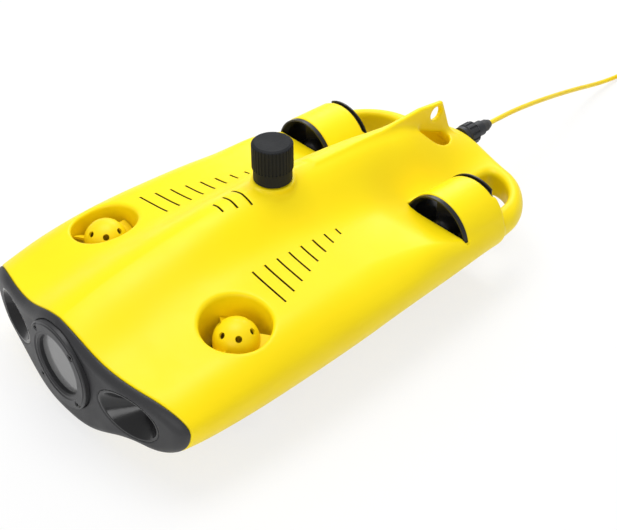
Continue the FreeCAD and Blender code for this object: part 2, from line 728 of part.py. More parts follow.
def build_card_port():
    neck = cylinder("neck_outside", size.neck_radius, neck_top - tube_axis, (0, size.port_station, tube_axis))
    tools = [
        cylinder("neck_inside", size.neck_bore, tall, (0, size.port_station, deep)),
        cylinder("neck_saddle", size.tube_radius, size.tube_long, (0, tube_start, tube_axis), "Y"),
    ]
    flange = cylinder("neck_flange", size.boss_radius - size.moving_gap, size.tube_wall * 2,
                      (0, size.port_station, tube_axis + size.tube_radius - size.tube_wall))
    node("card_port", cut("neck_cut", fuse("neck_solid", neck, flange), *tools))
    at = (0, size.port_station, cap_low)
    bore = size.neck_radius + size.moving_gap
    grip = size.cap_radius
    bevel = 0.7
    ceiling = neck_top - cap_low + 2 * cap_seal_section + 2 * size.moving_gap
    cap = turned("cap_turned", [
        (0.0, ceiling),
        (bore, ceiling),
        (bore, 0.0),
        (size.cap_skirt - bevel, 0.0),
        (size.cap_skirt, bevel),
        (size.cap_skirt, size.skirt_height),
        (grip, size.skirt_height + bevel),
        (grip, size.cap_height - 2 * bevel),
        (grip - bevel, size.cap_height - bevel),
        (grip - 3 * bevel, size.cap_height),
        (0.0, size.cap_height),
    ], at)
    groove_radius = 0.55
    grooves = []
    for k in range(int(number(size.knurls))):
        angle = 2 * math.pi * k / number(size.knurls)
        grooves.append(cylinder(f"knurl_{k}", groove_radius, size.cap_height,
                                (size.cap_radius * math.cos(angle),
                                 size.port_station + size.cap_radius * math.sin(angle),
                                 cap_low + size.skirt_height + bevel)))
    node("screw_cap", cut("cap_cut", cap, *grooves))
    node("cap_seal", ring("cap_ring", cap_seal_radius, cap_seal_section,
                          (0, size.port_station, neck_top + cap_seal_section + size.moving_gap)))


# ---------------------------------------------------------------- thrusters

def thruster_motor(name, mount_at, axis, bell_radius, motor_long, shaft_back):
    """Wound stator on a mount face, and the bell with its shaft that turns round it."""
    bell_wall = 2.1
    stator_radius = bell_radius - bell_wall - 2 * size.moving_gap
    lift = 5 * size.moving_gap
    core = cylinder(name + "_core", stator_radius * 0.55, motor_long, mount_at, axis)
    poles = spokes(name + "_poles", [(-1.2, 0.0), (1.2, 0.0), (1.2, motor_long), (-1.2, motor_long)],
                   stator_radius, 9, mount_at, axis)
    rim = tube(name + "_rim", stator_radius, stator_radius - 1.5, motor_long, mount_at, axis)
    bore = cylinder(name + "_bore", size.shaft_radius + size.shaft_gap, motor_long * 2,
                    ahead(mount_at, axis, -motor_long / 2), axis)
    node(name + "_stator", cut(name + "_stator_cut", fuse(name + "_windings", core, poles, rim), bore))
    plate_low = motor_long + size.moving_gap
    plate_high = plate_low + bell_wall
    inner = bell_radius - bell_wall
    node(name + "_rotor_bell", turned(name + "_bell", [
        (0.0, -shaft_back),
        (size.shaft_radius, -shaft_back),
        (size.shaft_radius, plate_low),
        (inner, plate_low),
        (inner, lift),
        (bell_radius, lift),
        (bell_radius, plate_high),
        (size.shaft_radius, plate_high),
        (size.shaft_radius, plate_high + bell_wall * 3),
        (0.0, plate_high + bell_wall * 3),
    ], mount_at, axis))
    return lift, plate_high, bell_wall * 3


def propeller(name, mount_at, axis, hub, centre, blade_level, chord, tip, phase, motor, holes):
    """Hollow hub with a domed end over the bell, and three blades."""
    low, plate_high, shaft_out = motor
    hub_wall = 1.8
    base = ahead(mount_at, axis, low)
    dome_at = ahead(mount_at, axis, centre)
    outside = cylinder(name + "_skirt", hub, centre - low, base, axis)
    dome = half_ball(name + "_dome", hub, dome_at, axis)
    bore = cylinder(name + "_hollow", hub - hub_wall, centre - low, base, axis)
    vault = half_ball(name + "_vault", hub - hub_wall, dome_at, axis)
    half = size.blade_thick / 2
    across = chord * 0.43
    rise = chord * 0.25
    blades = spokes(name + "_blades", [
        (-across, -rise - half), (across, rise - half), (across, rise + half), (-across, -rise + half),
    ], tip + hub_wall, 3, ahead(mount_at, axis, blade_level), axis, phase)
    disc = cylinder(name + "_reach", tip, chord * 2, ahead(mount_at, axis, blade_level - chord), axis)
    trimmed = common(name + "_trimmed", blades, disc)
    hollow = [bore, vault]
    for k in range(holes):
        drill = cylinder(f"{name}_drill_{k}", hub * 0.145, hub * 2, dome_at, axis)
        turn = Rotation(Vector(0, 0, 1), 360 * (k + 0.5) / holes)
        drill.Placement = Placement(drill.Placement.Base, turn.multiply(Rotation(Vector(0, 1, 0), 48)))
        hollow.append(drill)
    shell = cut(name + "_shell", fuse(name + "_solid", outside, dome, trimmed), *hollow)
    stem = tube(name + "_stem", size.shaft_radius + 2 * hub_wall, size.shaft_radius + size.seat_gap / 2,
                centre - plate_high + hub - hub_wall / 2, ahead(mount_at, axis, plate_high), axis)
    node(name, fuse(name + "_all", shell, stem))


def motor_mount(name, at, rim, disc, thick, arm_wide, arms, phase, axis="Z"):
    """Ring with arms that carry a disc on the duct's axis."""
    rim_wall = size.mount_thick * 0.6
    half = arm_wide / 2
    frame = fuse(name + "_frame",
                 tube(name + "_rim", rim, rim - rim_wall, thick, at, axis),
                 cylinder(name + "_disc", disc, thick, at, axis),
                 spokes(name + "_arms", [(-half, 0.0), (half, 0.0), (half, thick), (-half, thick)],
                        rim - rim_wall / 2, arms, at, axis, phase))
    bore = cylinder(name + "_bore", size.shaft_radius + size.shaft_gap, thick * 2,
                    ahead(at, axis, -thick / 2), axis)
    return cut(name, frame, bore)


def build_upright_thrusters():
    front_motor = 13.5
    for side, sign in sides.items():
        name = f"front_{side}"
        at = (size.duct_offset * sign, size.duct_station, size.mount_level)
        mount = motor_mount(name + "_mount", at, size.duct_radius - size.seat_gap,
                            size.dome_radius - size.duct_wall * 1.5, size.mount_thick, 5.0, 3, 34.0 * sign)
        node(name + "_motor_mount", mount)
        face = ahead(at, "Z", size.mount_thick)
        motor = thruster_motor(name + "_motor", face, "Z", size.dome_radius - 1.9, front_motor,
                               size.mount_thick * 0.7)
        propeller(name + "_propeller", face, "Z", size.dome_radius, 18.2, 17.0, 14.0,
                  size.duct_radius - size.tip_gap, 34.0 + (0 if sign > 0 else 60), motor, 6)
    at = (0, size.tail_duct_station, size.tail_mount_level)
    node("tail_motor_mount", motor_mount("tail_mount", at, size.tail_duct_radius - size.seat_gap,
                                         size.tail_dome_radius - size.duct_wall * 0.6, size.mount_thick,
                                         4.0, 3, 90.0))
    face = ahead(at, "Z", size.mount_thick)
    motor = thruster_motor("tail_motor", face, "Z", size.tail_dome_radius - 1.9, 12.0,
                           size.mount_thick * 0.7)
    propeller("tail_propeller", face, "Z", size.tail_dome_radius, 19.9, 15.0, 10.0,
              size.tail_duct_radius - size.tip_gap, 20.0, motor, 6)


lip_face = size.nacelle_front - size.lip_thick
pod_face = 106.0
rail_inside = 84.5


def build_rear_thrusters():
    sleeve_long = size.nacelle_rear - size.nacelle_front + size.lip_thick
    pod_radius = size.pod_radius
    for side, sign in sides.items():
        name = f"rear_{side}"
        x = size.nacelle_offset * sign
        at = (x, lip_face, size.nacelle_height)
        rear = (x, size.nacelle_rear, size.nacelle_height)
        mouth = cone(name + "_mouth", size.lip_radius - size.ring_thick, size.nozzle_bore,
                     size.lip_thick * 1.2, at, "Y")
        pod_at = (x, pod_face, size.nacelle_height)
        pod_long = 16.0
        nozzle_solid = fuse(name + "_nozzle_solid",
                            cylinder(name + "_sleeve", size.nozzle_radius, sleeve_long, at, "Y"),
                            cylinder(name + "_lip", size.lip_radius, size.lip_thick, at, "Y"),
                            cylinder(name + "_ring", size.nozzle_radius + size.cover_wall,
                                     size.ring_thick, rear, "Y"))
        hollow = cut(name + "_nozzle_tube", nozzle_solid,
                     cylinder(name + "_throat", size.nozzle_bore, tall, at, "Y"), mouth)
        arms = spokes(name + "_vanes", [(-1.6, 0.0), (1.6, 0.0), (1.6, pod_long * 0.7), (-1.6, pod_long * 0.7)],
                      size.nozzle_radius - 0.4, 5, pod_at, "Y", 90.0)
        pod = fuse(name + "_pod_solid",
                   cylinder(name + "_pod", pod_radius, pod_long * 0.7, pod_at, "Y"),
                   cone(name + "_pod_tail", pod_radius, pod_radius * 0.45, pod_long * 0.5,
                        ahead(pod_at, "Y", pod_long * 0.7), "Y"))
        rail_low = size.nacelle_height - size.nozzle_radius
        rail = box(name + "_rail_gap",
                   (rail_inside if sign > 0 else -rail_inside - size.nozzle_radius, size.nacelle_rear,
                    rail_low),
                   (size.nozzle_radius, size.ring_thick * 2, size.nozzle_radius * 2))
        bore = cylinder(name + "_pod_bore", size.shaft_radius + size.shaft_gap, 10.0, pod_at, "Y")
        node(name + "_nozzle", cut(name + "_nozzle_cut", fuse(name + "_nozzle_all", hollow, arms, pod),
                                   rail, bore))
        motor = thruster_motor(name + "_motor", pod_at, "-Y", pod_radius - 1.9, 9.0, 8.0)
        propeller(name + "_propeller", pod_at, "-Y", pod_radius, 10.4, 7.6, 17.0,
                  size.nozzle_bore - size.tip_gap, 90.0, motor, 0)


# ---------------------------------------------------------------- tether connector

tail_axis = (0, tail_edge, size.socket_height)
pocket_depth = 22.0
barrel_out = 7.5
collar_thick = 1.2
nut_start = tail_edge + size.moving_gap
nut_end = nut_start + size.nut_long
plug_start = tail_edge + barrel_out + size.moving_gap / 3
boot_start = nut_end + size.moving_gap + 8.0
boot_end = boot_start + size.boot_long


def build_connector():
    rear = (0, tail_edge - size.socket_thick, size.socket_height)
    socket = fuse("socket_solid",
                  cylinder("socket_flange", size.socket_radius, size.socket_thick, rear, "Y"),
                  cylinder("socket_stem", size.stem_radius, pocket_depth + barrel_out,
                           (0, tail_edge - pocket_depth, size.socket_height), "Y"))
    node("tether_socket", cut("socket_cut", socket, cylinder(
        "socket_bore", size.tip_radius + size.seat_gap, size.tip_long + size.moving_gap,
        (0, tail_edge + barrel_out - size.tip_long - size.moving_gap, size.socket_height), "Y")))
    nut_bore = size.stem_radius + size.moving_gap
    lip_bore = size.stem_radius - collar_thick + size.moving_gap
    lip_from = barrel_out + collar_thick + 2 * size.moving_gap
    nut = turned("nut_turned", [
        (nut_bore, 0.0),
        (size.nut_radius - 1.0, 0.0),
        (size.nut_radius, 1.0),
        (size.nut_radius, size.nut_long - 1.5),
        (size.nut_radius - 1.5, size.nut_long),
        (lip_bore, size.nut_long),
        (lip_bore, lip_from),
        (nut_bore, lip_from),
    ], (0, nut_start, size.socket_height), "Y")
    ribs = []
    for k in range(12):
        angle = 2 * math.pi * k / 12
        ribs.append(cylinder(f"nut_groove_{k}", 1.1, size.nut_long * 0.8,
                             (size.nut_radius * math.cos(angle), nut_start + size.nut_long * 0.1,
                              size.socket_height + size.nut_radius * math.sin(angle)), "Y"))
    node("coupling_nut", cut("nut_cut", nut, *ribs))
    neck = size.stem_radius - collar_thick
    body_long = boot_start - nut_end - size.moving_gap
    plug = fuse("plug_solid",
                cylinder("plug_tip", size.tip_radius, size.tip_long,
                         (0, plug_start - size.tip_long, size.socket_height), "Y"),
                cylinder("plug_collar", size.stem_radius, collar_thick,
                         (0, plug_start, size.socket_height), "Y"),
                cylinder("plug_neck", neck, nut_end - plug_start + size.moving_gap,
                         (0, plug_start, size.socket_height), "Y"),
                cylinder("plug_body", size.stem_radius, body_long,
                         (0, nut_end + size.moving_gap, size.socket_height), "Y"))
    node("tether_plug", plug)
    boot = turned("boot_turned", [
        (size.cord_radius + 0.05, 0.0),
        (size.stem_radius - 1.0, 0.0),
        (size.stem_radius - 1.4, size.boot_long * 0.6),
        (size.cord_radius + 1.2, size.boot_long),
        (size.cord_radius + 0.05, size.boot_long),
    ], (0, boot_start, size.socket_height), "Y")
    node("tether_boot", boot)


# ---------------------------------------------------------------- belly

plate_low = size.ground_clearance - 0.9
insert_wall = 1.6
boss_high = size.insert_depth + size.plate_thick


def insert_places():
    return [(0, -size.insert_spacing / 2, plate_low), (0, size.insert_spacing / 2, plate_low)]


def build_belly():
    skids = []
    for k, (x, y) in enumerate([(-1, -1), (1, -1), (-1, 1), (1, 1)]):
        corner = (size.skid_offset * x - size.skid_wide / 2, size.skid_station * y - size.skid_long / 2, 0)
        skids.append(box(f"skid_block_{k}", corner, (size.skid_wide, size.skid_long, size.skid_wide / 2)))
    node("skids", cut("skid_cut", fuse("skid_blocks", *skids), hull_form))
    plate = box("plate_slab", (-size.plate_wide / 2, -size.plate_long / 2, plate_low),
                (size.plate_wide, size.plate_long, size.plate_thick))
    sockets = []
    bores = []
    for k, at in enumerate(insert_places()):
        sockets.append(cylinder(f"insert_{k}", size.insert_radius + insert_wall, size.insert_depth, at))
        bores.append(cylinder(f"insert_bore_{k}", size.insert_radius, size.insert_depth, at))
    node("accessory_plate", cut("plate_cut", fuse("plate_solid", plate, *sockets), *bores))
    floor = size.ground_clearance + size.wall + 7 * size.seat_gap
    weights = []
    for k, station in enumerate([-75.0, 55.0]):
        weights.append(box(f"weight_{k}", (-12.0, station - 16.0, floor), (24.0, 32.0, 6.0)))
    node("ballast_weights", fuse("weights", *weights))


# ---------------------------------------------------------------- hull halves

cavity_end = 0.42
screw_places = [(88, -45), (86, 25), (48, -150)]
screw_seat = size.parting_height - 7.0
screw_long = 18.0


def all_screws():
    return [(x * sign, y) for x, y in screw_places for sign in (-1, 1)]


def build_screws():
    screws = []
    for k, (x, y) in enumerate(all_screws()):
        head_thick = size.screw_head * 0.7
        screws.append(fuse(f"screw_{k}",
                           cylinder(f"screw_head_{k}", size.screw_head, head_thick,
                                    (x, y, screw_seat - head_thick)),
                           cylinder(f"screw_shank_{k}", size.screw_radius, screw_long, (x, y, screw_seat))))
    node("shell_screws", fuse("screws", *screws))


def loop_gap(side, sign):
    """Opening behind a rear thruster, a bar's width inside the plan outline."""
    inner = number(size.tail_body)
    start = number(size.nacelle_rear)
    count = 12
    points = []
    for k in range(count + 1):
        angle = math.pi / 2 * k / count
        low = 0.0
        high = number(size.hull_beam)
        for _ in range(40):
            reach = (low + high) / 2
            x = inner + reach * math.cos(angle)
            if plan_depth(x, start + reach * math.sin(angle)) > number(size.tail_bar):
                low = reach
            else:
                high = reach
        points.append(Vector((inner + low * math.cos(angle)) * sign, start + low * math.sin(angle),
                             number(deep)))
    wall = Part.BSplineCurve()
    wall.interpolate(points)
    corner = Vector(inner * sign, start, number(deep))
    edges = [wall.toShape(), Part.makeLine(points[-1], corner), Part.makeLine(corner, points[0])]
    solid = Part.Face(Part.Wire(edges)).extrude(Vector(0, 0, number(tall)))
    upright = [e for e in solid.Edges
               if e.BoundBox.ZLength > 1 and abs(e.BoundBox.YMax - points[-1].y) < 0.01]
    feature = doc.addObject("Part::Feature", f"loop_gap_{side}")
    feature.Shape = solid.makeFillet(8.0, upright)
    return feature


def vent_tools():
    vents = []
    for side, sign in sides.items():
        for k in range(int(number(size.side_vents))):
            outer = size.vent_outer - size.vent_step * k
            low = size.vent_inner if sign > 0 else -outer
            vents.append(box(f"vent_{side}_{k}",
                             (low, size.vent_first + size.vent_pitch * k - size.vent_width / 2, 62.0),
                             (outer - size.vent_inner, size.vent_width, 45.0)))
    for k in range(int(number(size.crest_vents))):
        half = size.crest_vent_half + size.crest_vent_step * k
        vents.append(box(f"vent_crest_{k}",
                         (-half, size.crest_vent_first + size.crest_vent_pitch * k - size.vent_width / 2,
                          90.0),
                         (half * 2, size.vent_width, 25.0)))
    return vents


def hull_cavity():
    """Room inside the hull halves, with the ducts' walls, screw posts and plate boss left standing."""
    stations = [s for s in SECTIONS if s < cavity_end - 0.05] + [cavity_end]
    room = hull_solid("cavity_form", stations, number(size.wall))
    standing = []
    for side, sign in sides.items():
        standing.append(cylinder(f"duct_wall_{side}", size.duct_radius + size.duct_wall, tall,
                                 (size.duct_offset * sign, size.duct_station, deep)))
    for k, (x, y) in enumerate(all_screws()):
        standing.append(cylinder(f"post_{k}", size.post_radius, tall, (x, y, deep)))
    standing.append(box("plate_boss", (-size.plate_wide / 2 - size.wall, -size.plate_long / 2 - size.wall, 0),
                        (size.plate_wide + 2 * size.wall, size.plate_long + 2 * size.wall, boss_high)))
    return cut("cavity", room, *standing)


def stern_fin():
    body = doc.addObject("PartDesign::Body", "fin")
    outline = [(29, 106.6), (75, 105), (100, 104), (138, 106), (162, 103.4), (168, 87), (173, 72),
               (165, 72), (163, 75.5), (133, 89), (131, 84), (92, 90), (84, 101.5), (29, 105.6)]
    sketch = outline_sketch(body, "fin_outline", "YZ_Plane", outline)
    pad = body.newObject("PartDesign::Pad", "fin_pad")
    pad.Profile = sketch
    pad.Midplane = True
    bind(pad, Length=size.fin_thick)
    body.Tip = pad
    return body


def build_hull():
    blank = cut("hull_hollow", common("hull_blank", hull_form, panel_back), hull_cavity())
    tools = [loop_gap("left", -1), loop_gap("right", 1), *vent_tools()]
    for side, sign in sides.items():
        tools.append(cylinder(f"duct_bore_{side}", size.duct_radius, tall,
                              (size.duct_offset * sign, size.duct_station, deep)))
    tools.append(cylinder("tail_duct_bore", size.tail_duct_radius, tall, (0, size.tail_duct_station, deep)))
    hollow = cut("hull_open", blank, *tools)
    added = [stern_fin(), cylinder("port_boss", size.boss_radius, size.wall * 3,
                                   (0, size.port_station, boss_top - size.wall * 3))]
    for side, sign in sides.items():
        added.append(cylinder(f"nacelle_{side}", size.nozzle_radius + size.cover_wall,
                              size.nacelle_rear - size.nacelle_front,
                              (size.nacelle_offset * sign, size.nacelle_front, size.nacelle_height), "Y"))
    grown = fuse("hull_grown", hollow, *added)
    gap = size.seat_gap
    bores = [cylinder("port_hole", size.neck_radius + gap, size.cap_height,
                      (0, size.port_station, boss_top - size.cap_height / 2)),
             cylinder("eye", size.eye_radius, size.fin_thick * 2,
                      (-size.fin_thick, size.eye_station, size.eye_height), "X"),
             cylinder("socket_seat", size.socket_radius + gap, size.socket_thick * 3,
                      (0, tail_edge - size.socket_thick, size.socket_height), "Y"),
             cylinder("socket_pocket", size.stem_radius + gap, pocket_depth * 2,
                      (0, tail_edge - pocket_depth - gap, size.socket_height), "Y"),
             box("plate_pocket", (-size.plate_wide / 2 - gap, -size.plate_long / 2 - gap, 0),
                 (size.plate_wide + 2 * gap, size.plate_long + 2 * gap,
                  plate_low + size.plate_thick + gap))]
    for k, at in enumerate(insert_places()):
        bores.append(cylinder(f"insert_seat_{k}", size.insert_radius + insert_wall + gap,
                              size.insert_depth + gap, at))
    for k, (x, y) in enumerate(all_screws()):
        bores.append(cylinder(f"screw_hole_{k}", size.screw_radius + gap, screw_long + gap, (x, y, screw_seat)))
        bores.append(cylinder(f"screw_sink_{k}", size.screw_head + gap, screw_seat, (x, y, 0)))
    for side, sign in sides.items():
        x = size.nacelle_offset * sign
        bores.append(cylinder(f"nozzle_bore_{side}", size.nozzle_radius + gap,
                              size.nacelle_rear - lip_face + size.ring_thick * 2,
                              (x, lip_face - gap, size.nacelle_height), "Y"))
        bores.append(cylinder(f"lip_seat_{side}", size.lip_radius + gap * 4, size.lip_thick + gap,
                              (x, lip_face - gap, size.nacelle_height), "Y"))
        bores.append(common(f"ring_seat_{side}",
                            cylinder(f"ring_round_{side}", size.nozzle_radius + size.cover_wall + gap,
                                     size.ring_thick + gap,
                                     (x, size.nacelle_rear, size.nacelle_height), "Y"),
                            box(f"ring_room_{side}",
                                (0 if sign > 0 else -rail_inside - gap, size.nacelle_rear, 0),
                                (rail_inside + gap, size.ring_thick * 2, tall))))
    shell = cut("hull_shell", grown, *bores)
    half_room = box("lower_room", (-size.hull_beam, -size.hull_length, deep),
                    (size.hull_beam * 2, size.hull_length + size.nacelle_rear, size.parting_height - deep))
    node("lower_shell", common("lower_half", shell, half_room))
    node("upper_shell", cut("upper_half", shell, half_room))


# ---------------------------------------------------------------- tether

tether_route = [
    (0.0, 222.3, 58.9), (-0.6, 238.0, 58.3), (-2.5, 258.0, 56.0), (-7.0, 290.0, 49.0),
    (-15.5, 330.0, 37.0), (-26.0, 372.0, 23.0), (-34.5, 410.0, 10.4), (-38.2, 438.0, 4.0),
    (-35.0, 458.0, 2.1), (-30.4, 474.0, 2.1),
]
coil_middle = (-4.0, 482.0)


def tether_path():
    """Straight runs joined by tangent arcs, as a wire with its length and radii."""
    points = [Vector(*p) for p in tether_route]
    points[0].y = number(boot_end)
    edges = []
    radii = []
    here = points[0]
    for k in range(1, len(points) - 1):
        before = points[k - 1] - points[k]
        after = points[k + 1] - points[k]
        half_turn = (math.pi - before.getAngle(after)) / 2
        short = min(before.Length, after.Length)
        radius = 0.45 * short / math.tan(half_turn)
        radii.append(radius)
        start = points[k] + before.normalize() * 0.45 * short
        end = points[k] + after.normalize() * 0.45 * short
        bisector = (before + after).normalize()
        middle = points[k] + bisector * (radius / math.cos(half_turn) - radius)
        edges.append(Part.makeLine(here, start))
        edges.append(Part.Arc(start, middle, end).toShape())
        here = end
    edges.append(Part.makeLine(here, points[-1]))
    return Part.Wire(edges), radii


def build_tether():
    path, radii = tether_path()
    along_start = path.Edges[0].tangentAt(path.Edges[0].FirstParameter)
    section = Part.Wire(Part.makeCircle(number(size.cord_radius), path.Edges[0].Vertexes[0].Point, along_start))
    feature = doc.addObject("Part::Feature", "tether_tube")
    feature.Shape = path.makePipeShell([section], True, False)
    expected = math.pi * number(size.cord_radius) ** 2 * path.Length
    print("tether length", round(path.Length, 1), "radii", [round(r) for r in radii],
          "volume ratio", round(feature.Shape.Volume / expected, 4))
    node("tether", feature)
    x, y = coil_middle
    node("tether_coil", tube("coil", size.coil_radius + size.coil_width / 2,
                             size.coil_radius - size.coil_width / 2, size.coil_height, (x, y, 0)))
    plug_long = 22.0
    level = size.coil_height + size.stem_radius
    start = (x - plug_long, y, level)
    node("tether_end_plug", fuse("end_plug",
                                 cylinder("end_boot", size.stem_radius * 0.7, size.boot_long, start, "X"),
                                 cylinder("end_body", size.stem_radius, plug_long,
                                          ahead(start, "X", size.boot_long), "X"),
                                 cylinder("end_tip", size.tip_radius, size.tip_long,
                                          ahead(start, "X", size.boot_long + plug_long), "X")))


# ---------------------------------------------------------------- assembly

build_nose_panel()
build_lamps()
build_pressure_hull(build_camera())
build_electronics()
build_card_port()
build_upright_thrusters()
build_rear_thrusters()
build_connector()
build_belly()
build_screws()
build_hull()
build_tether()
doc.recompute()

for feature in doc.Objects:
    if "Invalid" in feature.State or "Error" in feature.State:
        raise RuntimeError(f"{feature.Label} did not build")
for feature in nodes:
    if feature.Shape.isNull() or not feature.Shape.isValid():
        raise RuntimeError(f"{feature.Label} has no valid shape")

os.makedirs("parts", exist_ok=True)
for feature in nodes:
    feature.Shape.exportStep(f"parts/{feature.Label}.step")
print(len(nodes), "pieces")
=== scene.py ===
"""Mini underwater inspection vehicle: moulded hull skin, finishes and tether.

Sizes are millimetres in the vehicle's own frame (nose -Y, +Z up) and become metres
where a mesh is made.
"""

import math

import bpy
import numpy as np
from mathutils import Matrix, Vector


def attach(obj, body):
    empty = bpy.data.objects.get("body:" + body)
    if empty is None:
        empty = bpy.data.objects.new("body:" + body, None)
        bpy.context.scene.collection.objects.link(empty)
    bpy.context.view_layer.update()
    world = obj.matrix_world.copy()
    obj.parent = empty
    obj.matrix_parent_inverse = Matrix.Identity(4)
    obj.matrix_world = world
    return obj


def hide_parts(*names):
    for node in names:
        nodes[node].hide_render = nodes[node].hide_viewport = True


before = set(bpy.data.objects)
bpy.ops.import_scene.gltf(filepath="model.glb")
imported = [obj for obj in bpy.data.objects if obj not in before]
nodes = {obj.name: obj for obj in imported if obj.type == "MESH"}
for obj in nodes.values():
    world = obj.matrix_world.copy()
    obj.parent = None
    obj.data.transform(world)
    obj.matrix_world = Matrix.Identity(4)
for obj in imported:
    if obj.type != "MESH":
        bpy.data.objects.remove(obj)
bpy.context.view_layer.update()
MM = 0.001


# ---------------------------------------------------------------- camera

def spherical(azimuth, elevation):
    a = math.radians(azimuth)
    e = math.radians(elevation)
    return Vector((math.sin(a) * math.cos(e), -math.cos(a) * math.cos(e), math.sin(e)))


VIEW_TARGET = (32.8, -4.0, 50.0)
VIEW_ANGLES = (47.98, 37.78)
VIEW_DISTANCE = 886.5
VIEW_LENS = 73.5
VIEW_SENSOR = 36.0


def make_camera():
    target = Vector(VIEW_TARGET) * MM
    back = spherical(*VIEW_ANGLES)
    data = bpy.data.cameras.new("view")
    data.lens = VIEW_LENS
    data.sensor_width = VIEW_SENSOR
    camera = bpy.data.objects.new("view", data)
    camera.location = target + back * VIEW_DISTANCE * MM
    camera.rotation_mode = "QUATERNION"
    camera.rotation_quaternion = (-back).to_track_quat("-Z", "Y")
    bpy.context.collection.objects.link(camera)
    bpy.context.scene.camera = camera


# ---------------------------------------------------------------- tether

CORD = 2.0
TETHER_ROUTE = [
    (0.0, 222.1, 58.9), (-0.6, 238.0, 58.3), (-2.5, 258.0, 56.0), (-7.0, 290.0, 49.0),
    (-15.0, 330.0, 37.0), (-24.0, 372.0, 23.0), (-30.5, 410.0, 10.4), (-33.2, 438.0, 4.0),
    (-33.6, 458.0, 2.1), (-33.3, 474.0, 2.1),
]
COIL_MIDDLE = (-4.0, 482.0)
COIL_RADIUS = 25.0
COIL_TURNS = 9 + 2 / 3
COIL_PER_TURN = 16
COIL_LAYER_TURNS = 3
COIL_LAST_LAYER = 3
COIL_STEP = 4.2
COIL_RISE = 4.1
COIL_LIFT = 0.1
TETHER_END = [
    (-2.5, 456.4, 15.2), (-14.5, 452.4, 16.4), (-27.0, 452.4, 17.8), (-37.0, 457.4, 19.4),
    (-41.2, 467.0, 21.0), (-38.2, 477.2, 22.2), (-29.8, 482.2, 22.6), (-24.0, 482.0, 22.6),
]


def coil_points():
    """Three turns side by side in each layer, the next layer wound back over it."""
    points = []
    flat = COIL_LAYER_TURNS - 1.0
    for k in range(1, round(COIL_TURNS * COIL_PER_TURN) + 1):
        turn = k / COIL_PER_TURN
        layer = min(int(turn / COIL_LAYER_TURNS), COIL_LAST_LAYER)
        within = turn - COIL_LAYER_TURNS * layer
        across = COIL_STEP - (COIL_STEP * 2) * min(within, flat) / 2
        if layer % 2:
            across = -across
        climb = max(within - flat, 0.0) if layer < COIL_LAST_LAYER else 0.0
        level = CORD + COIL_LIFT + COIL_RISE * (layer + climb)
        angle = math.pi - 2 * math.pi * turn
        radius = COIL_RADIUS + across
        points.append((COIL_MIDDLE[0] + radius * math.cos(angle),
                       COIL_MIDDLE[1] + radius * math.sin(angle), level))
    return points


def make_tether():
    points = TETHER_ROUTE + coil_points() + TETHER_END
    curve = bpy.data.curves.new("tether_cord", "CURVE")
    curve.dimensions = "3D"
    curve.bevel_depth = 1.0
    curve.bevel_resolution = 5
    curve.resolution_u = 4
    curve.use_fill_caps = True
    spline = curve.splines.new("NURBS")
    spline.points.add(len(points) - 1)
    for knot, point in zip(spline.points, points):
        knot.co = (*(v * MM for v in point), 1.0)
        knot.radius = CORD * MM
    spline.order_u = 3
    spline.use_endpoint_u = True
    cord = bpy.data.objects.new("tether_cord", curve)
    bpy.context.collection.objects.link(cord)
    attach(cord, "hull")
    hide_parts("tether", "tether_coil")
    return cord


make_camera()
tether = make_tether()


# ---------------------------------------------------------------- hull form
# The curves run along the vehicle as (station in half lengths, ratio of their dimension).

HALF_LENGTH = 192.5
HULL_BEAM = 226.0
CREST_HEIGHT = 108.4
SHOULDER_HEIGHT = 83.0
NOSE_FACE = -190.0
NOSE_BOW = 340.0
PANEL = 5.5
TAIL_BAR = 14.0
TAIL_BODY = 48.0
DUCT = (72.2, -101.5, 23.5)
TAIL_DUCT = (0.0, 149.5, 16.5)
NACELLE = (70.4, 53.9)
NACELLE_FRONT = 88.0
NACELLE_REAR = 126.4
NOZZLE = 27.7
COVER = 29.9
LIP_FACE = 84.6
LIP = 29.9
PLAN_CORNER = 34.0
TAIL_SWEEP = 11.5
TAIL_SWEEP_SHARE = 0.288
TAIL_SWEEP_POWER = 1.3
TAIL_RISE = 8.0
TAIL_RISE_WIDTH = 40.0
DECK_FALL = 0.13
LOBE_OUT = 46.0
CREST_WIDTH = 33.0
CREST_NARROWING = 5.0
CREST_POWER = 2.4
KEEL_LIFT = 1.5
KEEL_WIDTH = 50.0
EDGE_RADIUS = 27.0
EDGE_SHARPENING = 18.0

HALF_BEAM = [(-1.04, 0.885), (-0.857, 0.96), (-0.675, 0.991), (-0.416, 1.0), (-0.13, 0.991),
             (0.104, 0.969), (0.338, 0.934), (0.525, 0.907), (0.732, 0.867), (1.04, 0.779)]
CREST = [(-1.04, 0.72), (-0.966, 0.766), (-0.779, 0.858), (-0.519, 0.941), (-0.27, 0.992),
         (0.0, 1.0), (0.26, 0.981), (0.426, 0.959), (0.53, 0.928), (0.629, 0.893),
         (0.779, 0.775), (0.919, 0.655), (1.04, 0.572)]
SHOULDER = [(-1.04, 0.795), (-0.857, 0.855), (-0.675, 0.94), (-0.468, 0.994), (-0.156, 1.0),
            (0.052, 0.982), (0.26, 0.91), (0.468, 0.759), (1.04, 0.735)]
WING_UNDERSIDE = [(-1.04, 0.289), (-0.857, 0.265), (-0.623, 0.271), (-0.312, 0.307),
                  (0.0, 0.349), (0.26, 0.41), (0.468, 0.458), (1.04, 0.494)]
WAIST = [(-1.04, 0.566), (-0.623, 0.627), (0.0, 0.651), (0.312, 0.627), (0.675, 0.602),
         (1.04, 0.602)]
BELLY = [(-1.04, 0.023), (-0.883, 0.0), (-0.7, 0.0), (0.0, 0.0), (0.55, 0.0), (0.65, 0.004),
         (0.779, 0.097), (0.935, 0.355), (1.04, 0.429)]


